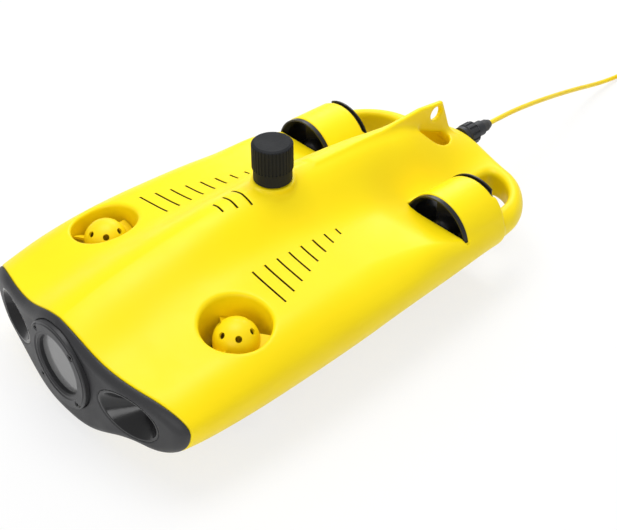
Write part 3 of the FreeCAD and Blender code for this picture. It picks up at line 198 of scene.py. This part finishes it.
def along(curve, y):
    """Smooth run of a hull curve through its points."""
    s = np.array([p[0] for p in curve])
    v = np.array([p[1] for p in curve])
    slope = np.empty(len(s))
    slope[0] = 0.0
    slope[1:-1] = (v[2:] - v[:-2]) / (s[2:] - s[:-2])
    slope[-1] = (v[-1] - v[-2]) / (s[-1] - s[-2])
    station = np.clip(y / HALF_LENGTH, s[0], s[-1])
    k = np.clip(np.searchsorted(s, station, side="right") - 1, 0, len(s) - 2)
    run = s[k + 1] - s[k]
    q = (station - s[k]) / run
    value = v[k] * (1 + 2 * q) * (1 - q) ** 2 + v[k + 1] * q * q * (3 - 2 * q)
    return value + run * q * (1 - q) * (slope[k] * (1 - q) - slope[k + 1] * q)


def ramp(start, end, y):
    q = np.clip((y / HALF_LENGTH - start) / (end - start), 0.0, 1.0)
    return q * q * (3 - 2 * q)


def bell(q, power):
    return np.exp(-np.abs(q) ** power)


def plan_depth(x, y):
    """Distance to the hull's outline seen from above, positive inside it."""
    half_beam = along(HALF_BEAM, y) * HULL_BEAM / 2
    swept = (np.abs(x) / (HULL_BEAM * TAIL_SWEEP_SHARE)) ** TAIL_SWEEP_POWER
    tail_line = HALF_LENGTH - TAIL_SWEEP * swept
    side = np.maximum(PLAN_CORNER - (half_beam - np.abs(x)), 0.0)
    back = np.maximum(PLAN_CORNER - (tail_line - y), 0.0)
    return PLAN_CORNER - np.hypot(side, back)


def hull_levels(x, y):
    """Waist, full deck height and full belly height."""
    level = along(WAIST, y) * SHOULDER_HEIGHT
    level = level + TAIL_RISE * bell(x / TAIL_RISE_WIDTH, 2) * ramp(0.571, 0.935, y)
    fall = DECK_FALL * (1 - ramp(0.052, 0.416, y))
    lobe = along(SHOULDER, y) * SHOULDER_HEIGHT
    crest = along(CREST, y) * CREST_HEIGHT
    spine = bell(x / (CREST_WIDTH - CREST_NARROWING * ramp(-0.935, -0.312, y)), CREST_POWER)
    top = lobe - fall * (np.abs(x) - LOBE_OUT) + (crest - lobe - fall * LOBE_OUT) * spine
    wing = along(WING_UNDERSIDE, y) * SHOULDER_HEIGHT
    keel = KEEL_LIFT + along(BELLY, y) * CREST_HEIGHT
    bottom = wing - (wing - keel) * bell(x / KEEL_WIDTH, 3)
    return level, top, bottom


def hull_value(x, y, z):
    """1 deep inside, 0 on the surface, negative outside."""
    level, top, bottom = hull_levels(x, y)
    radius = EDGE_RADIUS - EDGE_SHARPENING * ramp(0.0, 0.468, y)
    edge = np.maximum(1 - plan_depth(x, y) / radius, 0.0)
    rise = np.where(z > level, (z - level) / (top - level), (level - z) / (level - bottom))
    return 1 - np.hypot(edge, rise)


def hull_depth(x, y, z):
    """About the distance to the hull's surface, positive inside."""
    h = 0.25
    value = hull_value(x, y, z)
    gx = (hull_value(x + h, y, z) - hull_value(x - h, y, z)) / (2 * h)
    gy = (hull_value(x, y + h, z) - hull_value(x, y - h, z)) / (2 * h)
    gz = (hull_value(x, y, z + h) - hull_value(x, y, z - h)) / (2 * h)
    return value / np.maximum(np.sqrt(gx * gx + gy * gy + gz * gz), 0.004)


def joined(a, b, blend):
    """Union with a fillet."""
    near = np.maximum(blend - np.abs(a - b), 0.0)
    return np.maximum(a, b) + near * near / (4 * blend)


def kept(a, b, blend):
    """What lies inside both, with a rounded edge."""
    near = np.maximum(blend - np.abs(a - b), 0.0)
    return np.minimum(a, b) - near * near / (4 * blend)


def round_depth(a, b, radius):
    return radius - np.hypot(a, b)


def outline_depth(outline, y, z):
    """Distance to a polygon's outline, positive inside it."""
    shape = np.broadcast(y, z).shape
    nearest = np.full(shape, 1e9)
    inside = np.zeros(shape, bool)
    for (ya, za), (yb, zb) in zip(outline, outline[1:] + outline[:1]):
        dy, dz = yb - ya, zb - za
        share = np.clip(((y - ya) * dy + (z - za) * dz) / (dy * dy + dz * dz), 0, 1)
        nearest = np.minimum(nearest, np.hypot(y - ya - share * dy, z - za - share * dz))
        crosses = (za > z) != (zb > z)
        reach = ya + (z - za) * dy / (dz if abs(dz) > 1e-9 else 1e-9)
        inside = inside ^ (crosses & (y < reach))
    return np.where(inside, nearest, -nearest)


# Fittings: places and radii, as (y, z, radius), (y, radius, top) and so on.

FIN = [(29.0, 105.5), (75.0, 105.0), (100.0, 104.0), (138.0, 106.0), (162.0, 103.4), (168.0, 87.0),
       (173.0, 72.0), (165.0, 72.0), (163.0, 75.5), (133.0, 89.0), (131.0, 84.0), (92.0, 84.0),
       (60.0, 95.0)]
FIN_HALF = 2.2
EYE = (154.9, 95.6, 5.75)
SCREWS = [(88.0, -45.0), (86.0, 25.0), (48.0, -150.0)]
SCREW_SINK = (3.1, 34.0)
BOSS = (-7.5, 15.6, 108.5)
BOSS_HEIGHT = 12.0
CAP_BORE = 10.1
CAP_BORE_FLOOR = 95.0
SOCKET = (58.9, 8.7, 189.0)
PLATE_POCKET = (12.1, 31.1, 4.3)
CAMERA_TUBE = (47.0, 31.95)
CAMERA_TUBE_END = -110.0
LAMP = (67.0, 43.5)
LAMP_FACE = -170.0
HORN_BACK = -166.0
HORN_FACE = -187.0
HORN_THROAT = 4.6
HORN_MOUTH = (29.0, 17.5)
HORN_SHIFT = 4.0
HORN_WALL = 2.0


def bow_depth(x, y, radius):
    return radius - np.hypot(x, y - NOSE_FACE - NOSE_BOW)


def horn_depth(x, y, z, grow=0.0):
    """The wide lamp horn that opens from the lamp to the nose."""
    opened = np.clip((HORN_BACK - y) / (HORN_BACK - HORN_FACE), 0.0, 1.3)
    wide = HORN_THROAT + (HORN_MOUTH[0] - HORN_THROAT) * opened
    tall = HORN_THROAT + (HORN_MOUTH[1] - HORN_THROAT) * opened
    reach = np.hypot((x - LAMP[0] - HORN_SHIFT * opened) / wide, (z - LAMP[1]) / tall)
    return kept((1 - reach) * np.sqrt(wide * tall) + grow, HORN_BACK + grow - y, 0.6)


def shell_depth(x, y, z):
    """The yellow hull, both halves."""
    x = np.abs(x)
    depth = kept(hull_depth(x, y, z), bow_depth(x, y, NOSE_BOW - PANEL - 0.15), 0.9)
    cover = kept(round_depth(x - NACELLE[0], z - NACELLE[1], COVER),
                 kept(y - NACELLE_FRONT, NACELLE_REAR - y, 1.0), 1.2)
    depth = joined(depth, cover, 4.0)
    gap = kept(kept(plan_depth(x, y) - TAIL_BAR, x - TAIL_BODY, 10.0), y - NACELLE_REAR + 0.6, 0.8)
    depth = kept(depth, -gap, 5.0)
    depth = kept(depth, -round_depth(x - DUCT[0], y - DUCT[1], DUCT[2]), 3.4)
    depth = kept(depth, -round_depth(x, y - TAIL_DUCT[1], TAIL_DUCT[2]), 3.0)
    fin = kept(outline_depth(FIN, y, z), FIN_HALF - x, 1.6)
    fin = kept(fin, -round_depth(y - EYE[0], z - EYE[1], EYE[2]), 1.2)
    depth = joined(depth, fin, 6.0)
    boss = kept(round_depth(x, y - BOSS[0], BOSS[1]), BOSS[2] - z, 1.2)
    boss = kept(boss, z - BOSS[2] + BOSS_HEIGHT, 0.8)
    depth = joined(depth, boss, 2.4)
    cap_bore = kept(round_depth(x, y - BOSS[0], CAP_BORE), z - CAP_BORE_FLOOR, 0.6)
    depth = kept(depth, -cap_bore, 0.8)
    bore = kept(round_depth(x - NACELLE[0], z - NACELLE[1], NOZZLE), y - LIP_FACE, 0.6)
    seat = kept(round_depth(x - NACELLE[0], z - NACELLE[1], LIP + 0.4),
                kept(y - LIP_FACE, NACELLE_FRONT + 0.1 - y, 0.4), 0.6)
    rear = kept(bore, NACELLE_REAR + 2.4 - y, 0.6)
    depth = kept(depth, -rear, 0.8)
    depth = kept(depth, -seat, 0.6)
    socket = kept(round_depth(x, z - SOCKET[0], SOCKET[1]), y - SOCKET[2], 0.5)
    depth = kept(depth, -socket, 0.8)
    tube = kept(round_depth(x, z - CAMERA_TUBE[0], CAMERA_TUBE[1] + 0.4), CAMERA_TUBE_END - y, 0.6)
    depth = kept(depth, -tube, 0.8)
    depth = kept(depth, -horn_depth(x, y, z, HORN_WALL + 0.5), 0.6)
    for sx, sy in SCREWS:
        sink = kept(round_depth(x - sx, y - sy, SCREW_SINK[0]), SCREW_SINK[1] - z, 0.5)
        depth = kept(depth, -sink, 0.8)
    wide, long, high = PLATE_POCKET
    pocket = kept(kept(wide - x, long - np.abs(y), 0.5), high - z, 0.5)
    return kept(depth, -pocket, 0.6)


def nose_depth(x, y, z):
    """The nose's rounded front, solid behind."""
    return kept(hull_depth(x, y, z), bow_depth(x, y, NOSE_BOW), 6.0)


def panel_depth(x, y, z):
    """The dark nose panel."""
    x = np.abs(x)
    depth = nose_depth(x, y, z)
    depth = kept(depth, -bow_depth(x, y, NOSE_BOW - PANEL + 0.15), 0.8)
    depth = kept(depth, -round_depth(x, z - CAMERA_TUBE[0], CAMERA_TUBE[1]), 0.9)
    return kept(depth, -horn_depth(x, y, z, HORN_WALL + 0.1), 0.5)


def lamp_depth(x, y, z):
    """The horn's own thin wall, flush with the panel's face."""
    x = np.abs(x)
    depth = kept(horn_depth(x, y, z, HORN_WALL), nose_depth(x, y, z) - 0.2, 0.4)
    depth = kept(depth, -horn_depth(x, y, z), 0.5)
    throat = kept(round_depth(x - LAMP[0], z - LAMP[1], HORN_THROAT), y - LAMP_FACE, 0.3)
    return kept(depth, -throat, 0.3)


def moulded(name, depth, low, high, step):
    """Quad mesh on the surface where depth is zero, mirror-symmetric about x = 0."""
    across = np.arange(0.0, high[0] + step, step)
    ys = np.arange(low[1], high[1] + step, step)
    zs = np.arange(low[2], high[2] + step, step)
    half = depth(across[:, None, None], ys[None, :, None], zs[None, None, :]).astype(np.float32)
    field = np.concatenate([half[:0:-1], half])
    origin = np.array([-across[-1], ys[0], zs[0]])
    inside = field > 0
    cells = tuple(n - 1 for n in field.shape)
    total = np.zeros(cells + (3,), np.float32)
    count = np.zeros(cells, np.float32)
    faces = []
    span = [slice(0, -1), slice(1, None)]
    for axis in range(3):
        first = [slice(None)] * 3
        second = [slice(None)] * 3
        first[axis] = span[0]
        second[axis] = span[1]
        a, b = field[tuple(first)], field[tuple(second)]
        cross = inside[tuple(first)] != inside[tuple(second)]
        share = np.where(cross, a / np.where(cross, a - b, 1.0), 0.0).astype(np.float32)
        others = [k for k in range(3) if k != axis]
        for i in (0, 1):
            for j in (0, 1):
                part = [slice(None)] * 3
                part[others[0]] = span[i]
                part[others[1]] = span[j]
                hit = cross[tuple(part)]
                total[..., axis] += share[tuple(part)]
                total[..., others[0]] += hit * i
                total[..., others[1]] += hit * j
                count += hit
        where = np.argwhere(cross)
        edge = (where[:, others[0]] > 0) & (where[:, others[1]] > 0)
        edge &= (where[:, others[0]] < cells[others[0]]) & (where[:, others[1]] < cells[others[1]])
        where = where[edge]
        outward = inside[tuple(first)][tuple(where.T)] ^ (axis == 1)
        ring = []
        for i, j in ((1, 1), (0, 1), (0, 0), (1, 0)):
            corner = where.copy()
            corner[:, others[0]] -= i
            corner[:, others[1]] -= j
            ring.append(np.ravel_multi_index(tuple(corner.T), cells))
        ring = np.stack(ring, axis=1)
        faces.append(np.where(outward[:, None], ring, ring[:, ::-1]))
    faces = np.concatenate(faces)
    used = np.unique(faces)
    index = np.array(np.unravel_index(used, cells)).T
    flat_total = total.reshape(-1, 3)[used]
    flat_count = np.maximum(count.reshape(-1)[used], 1.0)
    points = origin + step * (index + flat_total / flat_count[:, None])
    points = seated(points, depth, step)
    faces = np.searchsorted(used, faces)
    mesh = bpy.data.meshes.new(name)
    mesh.vertices.add(len(points))
    mesh.vertices.foreach_set("co", (points * MM).ravel())
    mesh.loops.add(faces.size)
    mesh.loops.foreach_set("vertex_index", faces.ravel().astype(np.int32))
    mesh.polygons.add(len(faces))
    mesh.polygons.foreach_set("loop_start", np.arange(0, faces.size, 4, dtype=np.int32))
    mesh.update(calc_edges=True)
    mesh.validate()
    mesh.polygons.foreach_set("use_smooth", np.ones(len(mesh.polygons), bool))
    piece = bpy.data.objects.new(name, mesh)
    bpy.context.collection.objects.link(piece)
    return piece


def seated(points, depth, step):
    """Moves points on to the exact surface."""
    h = 0.2
    start = points.copy()
    for _ in range(3):
        x, y, z = points.T
        here = depth(x, y, z)
        slope = np.stack([depth(x + h, y, z) - depth(x - h, y, z),
                          depth(x, y + h, z) - depth(x, y - h, z),
                          depth(x, y, z + h) - depth(x, y, z - h)], axis=1) / (2 * h)
        size = np.maximum((slope ** 2).sum(axis=1), 0.05)
        points = points - slope * np.clip(here / size, -step, step)[:, None]
        points = start + np.clip(points - start, -0.8 * step, 0.8 * step)
    return points


# ---------------------------------------------------------------- finishes

def node_group(name, inputs, outputs):
    group = bpy.data.node_groups.new(name, "ShaderNodeTree")
    for label, kind, value in inputs:
        socket = group.interface.new_socket(label, in_out="INPUT", socket_type=kind)
        if value is not None:
            socket.default_value = value
    for label, kind in outputs:
        group.interface.new_socket(label, in_out="OUTPUT", socket_type=kind)
    return group, group.nodes.new("NodeGroupInput"), group.nodes.new("NodeGroupOutput")


def noise(tree, vector, scale, detail=3.0):
    node = tree.nodes.new("ShaderNodeTexNoise")
    node.inputs["Detail"].default_value = detail
    if isinstance(scale, (int, float)):
        node.inputs["Scale"].default_value = scale
    else:
        tree.links.new(scale, node.inputs["Scale"])
    tree.links.new(vector, node.inputs["Vector"])
    return node.outputs["Fac"]


def remap(tree, value, low, high, to_low, to_high):
    node = tree.nodes.new("ShaderNodeMapRange")
    tree.links.new(value, node.inputs["Value"])
    limits = {"From Min": low, "From Max": high, "To Min": to_low, "To Max": to_high}
    for label, number in limits.items():
        if isinstance(number, (int, float)):
            node.inputs[label].default_value = number
        else:
            tree.links.new(number, node.inputs[label])
    return node.outputs["Result"]


def make_spark_texture():
    """Fine pitting that an eroded mould leaves on plastic."""
    group, given, result = node_group(
        "spark_texture",
        [("Place", "NodeSocketVector", None), ("Grain", "NodeSocketFloat", 900.0)],
        [("Height", "NodeSocketFloat")])
    links = group.links
    fine = noise(group, given.outputs["Place"], given.outputs["Grain"], 2.0)
    cells = group.nodes.new("ShaderNodeTexVoronoi")
    links.new(given.outputs["Place"], cells.inputs["Vector"])
    links.new(given.outputs["Grain"], cells.inputs["Scale"])
    both = group.nodes.new("ShaderNodeMath")
    both.operation = "ADD"
    links.new(fine, both.inputs[0])
    links.new(cells.outputs["Distance"], both.inputs[1])
    links.new(both.outputs[0], result.inputs["Height"])
    return group


def make_tone_drift():
    """Slow change of tone and gloss over a moulded or rubbed surface."""
    group, given, result = node_group(
        "tone_drift",
        [("Place", "NodeSocketVector", None), ("Tone", "NodeSocketColor", (1, 1, 1, 1)),
         ("Deep Tone", "NodeSocketColor", (0.8, 0.8, 0.8, 1)), ("Patch", "NodeSocketFloat", 14.0),
         ("Gloss Low", "NodeSocketFloat", 0.3), ("Gloss High", "NodeSocketFloat", 0.45)],
        [("Colour", "NodeSocketColor"), ("Roughness", "NodeSocketFloat")])
    links = group.links
    patch = noise(group, given.outputs["Place"], given.outputs["Patch"], 4.0)
    amount = remap(group, patch, 0.35, 0.75, 0.0, 1.0)
    blend = group.nodes.new("ShaderNodeMix")
    blend.data_type = "RGBA"
    links.new(amount, blend.inputs["Factor"])
    links.new(given.outputs["Tone"], blend.inputs["A"])
    links.new(given.outputs["Deep Tone"], blend.inputs["B"])
    links.new(blend.outputs["Result"], result.inputs["Colour"])
    smear = noise(group, given.outputs["Place"], 60.0, 5.0)
    gloss = remap(group, smear, 0.3, 0.7, given.outputs["Gloss Low"], given.outputs["Gloss High"])
    links.new(gloss, result.inputs["Roughness"])
    return group


SPARK = make_spark_texture()
DRIFT = make_tone_drift()


def finish(name, tone, deep=None, gloss=(0.3, 0.45), grain=900.0, pitting=0.04, patch=14.0,
           metal=0.0, sheen=0.0, gleam=0.5):
    """Material with drifting tone and gloss over a fine grain."""
    material = bpy.data.materials.new(name)
    material.use_nodes = True
    tree = material.node_tree
    shader = tree.nodes["Principled BSDF"]
    place = tree.nodes.new("ShaderNodeTexCoord").outputs["Object"]
    drift = tree.nodes.new("ShaderNodeGroup")
    drift.node_tree = DRIFT
    tree.links.new(place, drift.inputs["Place"])
    deep = deep or tuple(v * 0.82 for v in tone)
    drift.inputs["Tone"].default_value = (*tone, 1)
    drift.inputs["Deep Tone"].default_value = (*deep, 1)
    drift.inputs["Patch"].default_value = patch
    drift.inputs["Gloss Low"].default_value = gloss[0]
    drift.inputs["Gloss High"].default_value = gloss[1]
    tree.links.new(drift.outputs["Colour"], shader.inputs["Base Color"])
    tree.links.new(drift.outputs["Roughness"], shader.inputs["Roughness"])
    spark = tree.nodes.new("ShaderNodeGroup")
    spark.node_tree = SPARK
    tree.links.new(place, spark.inputs["Place"])
    spark.inputs["Grain"].default_value = grain
    bump = tree.nodes.new("ShaderNodeBump")
    bump.inputs["Strength"].default_value = pitting
    bump.inputs["Distance"].default_value = 0.0004
    tree.links.new(spark.outputs["Height"], bump.inputs["Height"])
    tree.links.new(bump.outputs["Normal"], shader.inputs["Normal"])
    shader.inputs["Metallic"].default_value = metal
    shader.inputs["Specular IOR Level"].default_value = gleam
    shader.inputs["Sheen Weight"].default_value = sheen
    return material


def glass(name, tint, rough=0.02, body=0.0):
    material = bpy.data.materials.new(name)
    material.use_nodes = True
    tree = material.node_tree
    shader = tree.nodes["Principled BSDF"]
    shader.inputs["Transmission Weight"].default_value = 1.0 - body
    shader.inputs["IOR"].default_value = 1.5
    place = tree.nodes.new("ShaderNodeTexCoord").outputs["Object"]
    haze = noise(tree, place, 90.0, 5.0)
    tree.links.new(remap(tree, haze, 0.3, 0.7, rough, rough + 0.05), shader.inputs["Roughness"])
    shade = tree.nodes.new("ShaderNodeMix")
    shade.data_type = "RGBA"
    tree.links.new(haze, shade.inputs["Factor"])
    shade.inputs["A"].default_value = (*tint, 1)
    shade.inputs["B"].default_value = (*(v * 0.94 for v in tint), 1)
    tree.links.new(shade.outputs["Result"], shader.inputs["Base Color"])
    return material


YELLOW = (1.0, 0.79, 0.003)
YELLOW_DEEP = (0.97, 0.72, 0.002)
hull_yellow = finish("hull_yellow", YELLOW, YELLOW_DEEP, gloss=(0.34, 0.44), grain=1400.0,
                     pitting=0.025, patch=9.0, gleam=0.22)
# Vent walls: the hull's yellow darkened nearly to black, painted shade inside the narrow slots.
slot_painted_shade = finish("slot_painted_shade", (0.05, 0.04, 0.01), gloss=(0.6, 0.8))
nose_dark = finish("nose_dark", (0.034, 0.034, 0.036), (0.028, 0.028, 0.03), gloss=(0.4, 0.52),
                   grain=1100.0, pitting=0.12, gleam=0.3)
bezel_dark = finish("bezel_dark", (0.034, 0.034, 0.036), gloss=(0.34, 0.44), pitting=0.05,
                    gleam=0.35)
lamp_dark = finish("lamp_dark", (0.008, 0.008, 0.009), gloss=(0.16, 0.26), pitting=0.02)
black_screw = finish("black_screw", (0.012, 0.012, 0.013), gloss=(0.35, 0.5), pitting=0.1,
                     gleam=0.3)
lamp_glow = finish("lamp_glow", (0.75, 0.73, 0.6), gloss=(0.1, 0.2), pitting=0.02)
cap_dark = finish("cap_dark", (0.016, 0.017, 0.019), (0.013, 0.014, 0.016), gloss=(0.5, 0.62),
                  pitting=0.12, gleam=0.12)
duct_dark = finish("duct_dark", (0.014, 0.014, 0.016), gloss=(0.3, 0.42), pitting=0.08, gleam=0.35)
rotor_yellow = finish("rotor_yellow", (0.98, 0.76, 0.004), (0.93, 0.68, 0.004), gloss=(0.36, 0.46),
                      grain=1200.0, gleam=0.25)
mount_dark = finish("mount_dark", (0.03, 0.03, 0.032), gloss=(0.4, 0.55), pitting=0.1)
copper = finish("copper_enamel", (0.65, 0.3, 0.12), gloss=(0.2, 0.35), metal=0.8, patch=40.0)
steel = finish("brushed_steel", (0.55, 0.55, 0.57), gloss=(0.25, 0.45), metal=1.0, patch=60.0)
anodised = finish("anodised_grey", (0.16, 0.17, 0.19), gloss=(0.3, 0.45), metal=0.9)
board = finish("board_green", (0.02, 0.16, 0.06), gloss=(0.3, 0.45), patch=80.0)
wrap = finish("battery_wrap", (0.03, 0.08, 0.3), gloss=(0.25, 0.4))
rubber = finish("soft_rubber", (0.035, 0.035, 0.036), gloss=(0.6, 0.75), pitting=0.2, sheen=0.1)
iron = finish("painted_iron", (0.12, 0.12, 0.125), gloss=(0.5, 0.65), pitting=0.3)
plug_dark = finish("plug_dark", (0.03, 0.032, 0.037), gloss=(0.4, 0.55), pitting=0.12, gleam=0.35)
jacket = finish("tether_jacket", (0.95, 0.72, 0.01), (0.9, 0.62, 0.008), gloss=(0.35, 0.5),
                grain=1600.0, pitting=0.05, patch=30.0)
# Camera window: clear glass given a mostly opaque flat grey, a painted reflection of the bright
# surroundings.
window = glass("window_glass", (0.22, 0.22, 0.22), rough=0.12, body=0.8)
lens = glass("lamp_lens_glass", (0.97, 0.97, 0.92))

FINISHES = {
    "upper_shell": hull_yellow, "lower_shell": hull_yellow, "nose_panel": nose_dark,
    "camera_bezel": bezel_dark, "bezel_screws": black_screw, "camera_window": window,
    "camera_module": lamp_dark,
    "window_seal": rubber, "end_cap_seals": rubber, "cap_seal": rubber, "tether_boot": rubber,
    "pressure_hull": anodised, "front_end_cap": bezel_dark, "rear_end_cap": anodised,
    "card_port": anodised, "cable_gland": plug_dark, "electronics_tray": mount_dark,
    "battery_pack": wrap, "main_board": board, "screw_cap": cap_dark,
    "tail_motor_mount": mount_dark, "tail_motor_stator": copper,
    "tail_motor_rotor_bell": steel, "tail_propeller": rotor_yellow,
    "tether_socket": plug_dark, "tether_plug": plug_dark, "coupling_nut": plug_dark,
    "tether_end_plug": plug_dark, "tether": jacket, "tether_coil": jacket, "skids": rubber,
    "ballast_weights": iron, "accessory_plate": steel, "shell_screws": steel,
}
for side in ("left", "right"):
    FINISHES.update({
        f"led_reflector_{side}": lamp_dark, f"led_lens_{side}": lens,
        f"led_module_{side}": lamp_glow,
        f"front_{side}_motor_mount": mount_dark, f"front_{side}_motor_stator": copper,
        f"front_{side}_motor_rotor_bell": steel, f"front_{side}_propeller": rotor_yellow,
        f"rear_{side}_motor_stator": copper, f"rear_{side}_motor_rotor_bell": steel,
        f"rear_{side}_propeller": duct_dark, f"rear_{side}_nozzle": duct_dark,
    })


def dress(piece, material):
    piece.data.materials.clear()
    piece.data.materials.append(material)


for label, material in FINISHES.items():
    for socket in nodes[label].material_slots:
        socket.material = material
tether.data.materials.append(jacket)


# ---------------------------------------------------------------- hull skin

VENT_WIDTH = 1.4
VENT_STATIONS = 5
VENT_BELOW = -3.0
VENT_ABOVE = 4.0
SIDE_VENTS = [(-65.4 + 10.62 * k, 46.0, 79.4 - 3.95 * k) for k in range(8)]
CREST_VENTS = [(-56.0 + 10.35 * k, 5.5 + 2.75 * k) for k in range(3)]


def deck_height(x, y):
    return float(hull_levels(np.array(abs(x)), np.array(y))[1])


def slot_cutter():
    """Thin blocks, one for each vent, that follow the deck's slope; their dark material passes on
    to the cut vent walls as painted shade.
    """
    mesh = bpy.data.meshes.new("slots")
    verts = []
    faces = []
    places = [(sign * inner, sign * outer, y) for y, inner, outer in SIDE_VENTS for sign in (-1, 1)]
    places += [(-half, half, y) for y, half in CREST_VENTS]
    for xa, xb, y in places:
        base = len(verts)
        for k in range(VENT_STATIONS):
            x = xa + (xb - xa) * k / (VENT_STATIONS - 1)
            top = deck_height(x, y)
            for dy, dz in ((-1, VENT_BELOW), (1, VENT_BELOW), (1, VENT_ABOVE), (-1, VENT_ABOVE)):
                verts.append((x * MM, (y + dy * VENT_WIDTH / 2) * MM, (top + dz) * MM))
        for k in range(VENT_STATIONS - 1):
            a = base + 4 * k
            for j in range(4):
                faces.append((a + j, a + (j + 1) % 4, a + 4 + (j + 1) % 4, a + 4 + j))
        faces.append((base + 3, base + 2, base + 1, base))
        last = base + 4 * (VENT_STATIONS - 1)
        faces.append((last, last + 1, last + 2, last + 3))
    mesh.from_pydata(verts, [], faces)
    mesh.update()
    cutter = bpy.data.objects.new("slots", mesh)
    bpy.context.collection.objects.link(cutter)
    with bpy.context.temp_override(active_object=cutter, object=cutter,
                                   selected_editable_objects=[cutter]):
        bpy.context.view_layer.objects.active = cutter
        bpy.ops.object.mode_set(mode="EDIT")
        bpy.ops.mesh.select_all(action="SELECT")
        bpy.ops.mesh.normals_make_consistent(inside=False)
        bpy.ops.object.mode_set(mode="OBJECT")
    cutter.data.materials.append(slot_painted_shade)
    return cutter


def cut_with(piece, cutter):
    change = piece.modifiers.new("slots", "BOOLEAN")
    change.object = cutter
    change.operation = "DIFFERENCE"
    change.solver = "EXACT"
    change.material_mode = "TRANSFER"
    settle(piece)
    bpy.data.objects.remove(cutter)


def settle(piece):
    """Applies the piece's modifiers."""
    graph = bpy.context.evaluated_depsgraph_get()
    mesh = bpy.data.meshes.new_from_object(piece.evaluated_get(graph))
    old = piece.data
    piece.modifiers.clear()
    piece.data = mesh
    bpy.data.meshes.remove(old)


GRID = 1.15
NOSE_GRID = GRID * 0.55
HORN_GRID = GRID * 0.45
HULL_BOX = ((0, -194.0, -2.0), (117.0, 196.0, 113.0))
NOSE_BOX = ((0, -194.0, -2.0), (117.0, -160.0, 90.0))
HORN_BOX = ((0, -190.0, 18.0), (103.0, -160.0, 70.0))


def make_hull_skin():
    skin = moulded("hull_skin", shell_depth, *HULL_BOX, GRID)
    dress(skin, hull_yellow)
    cut_with(skin, slot_cutter())
    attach(skin, "hull")
    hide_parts("upper_shell", "lower_shell")
    panel = moulded("nose_skin", panel_depth, *NOSE_BOX, NOSE_GRID)
    dress(panel, nose_dark)
    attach(panel, "hull")
    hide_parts("nose_panel")
    horns = moulded("lamp_horns", lamp_depth, *HORN_BOX, HORN_GRID)
    dress(horns, lamp_dark)
    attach(horns, "hull")
    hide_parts("led_reflector_left", "led_reflector_right")


make_hull_skin()


# ---------------------------------------------------------------- studio

FLOOR_SIZE = 12.0
FLOOR_DROP = -0.0003
FLOOR_GLOW = 0.75
WORLD_LIGHT = 0.5
LAMPS = [
    ("overhead", (-0.25, 0.1, 1.4), (0, 0, 0.05), 1.0, 13.0),
    ("nose_side", (0.6, -1.1, 0.5), (0, -0.1, 0.05), 0.7, 3.5),
    ("tail_side", (-0.7, 0.9, 0.7), (0, 0.1, 0.05), 0.7, 4.0),
]


def make_floor():
    bpy.ops.mesh.primitive_plane_add(size=FLOOR_SIZE, location=(0, 0, FLOOR_DROP))
    floor = bpy.context.object
    floor.name = "floor"
    material = bpy.data.materials.new("studio_white")
    material.use_nodes = True
    tree = material.node_tree
    tree.nodes.remove(tree.nodes["Principled BSDF"])
    matte = tree.nodes.new("ShaderNodeBsdfDiffuse")
    matte.inputs["Color"].default_value = (0.9, 0.9, 0.9, 1)
    glow = tree.nodes.new("ShaderNodeEmission")
    glow.inputs["Color"].default_value = (1, 1, 1, 1)
    path = tree.nodes.new("ShaderNodeLightPath")
    seen = tree.nodes.new("ShaderNodeMath")
    seen.operation = "MAXIMUM"
    tree.links.new(path.outputs["Is Camera Ray"], seen.inputs[0])
    tree.links.new(path.outputs["Is Glossy Ray"], seen.inputs[1])
    share = tree.nodes.new("ShaderNodeMath")
    share.operation = "MULTIPLY"
    share.inputs[1].default_value = FLOOR_GLOW
    tree.links.new(seen.outputs[0], share.inputs[0])
    mix = tree.nodes.new("ShaderNodeMixShader")
    tree.links.new(share.outputs[0], mix.inputs[0])
    tree.links.new(matte.outputs[0], mix.inputs[1])
    tree.links.new(glow.outputs[0], mix.inputs[2])
    tree.links.new(mix.outputs[0], tree.nodes["Material Output"].inputs["Surface"])
    floor.data.materials.append(material)


def make_lamp(name, place, aim, width, power):
    data = bpy.data.lights.new(name, "AREA")
    data.shape = "RECTANGLE"
    data.size = width
    data.size_y = width * 0.7
    data.energy = power
    lamp = bpy.data.objects.new(name, data)
    lamp.location = Vector(place)
    lamp.rotation_mode = "QUATERNION"
    lamp.rotation_quaternion = (Vector(aim) - lamp.location).to_track_quat("-Z", "Y")
    bpy.context.collection.objects.link(lamp)


def make_light():
    world = bpy.data.worlds.new("studio")
    world.use_nodes = True
    tree = world.node_tree
    plain = tree.nodes["Background"]
    plain.inputs["Color"].default_value = (1, 1, 1, 1)
    plain.inputs["Strength"].default_value = WORLD_LIGHT
    seen = tree.nodes.new("ShaderNodeBackground")
    seen.inputs["Color"].default_value = (1, 1, 1, 1)
    seen.inputs["Strength"].default_value = 1.0
    path = tree.nodes.new("ShaderNodeLightPath")
    mix = tree.nodes.new("ShaderNodeMixShader")
    tree.links.new(path.outputs["Is Camera Ray"], mix.inputs[0])
    tree.links.new(plain.outputs[0], mix.inputs[1])
    tree.links.new(seen.outputs[0], mix.inputs[2])
    tree.links.new(mix.outputs[0], tree.nodes["World Output"].inputs["Surface"])
    bpy.context.scene.world = world
    for lamp in LAMPS:
        make_lamp(*lamp)


make_floor()
make_light()
bpy.context.scene.view_settings.view_transform = "Standard"
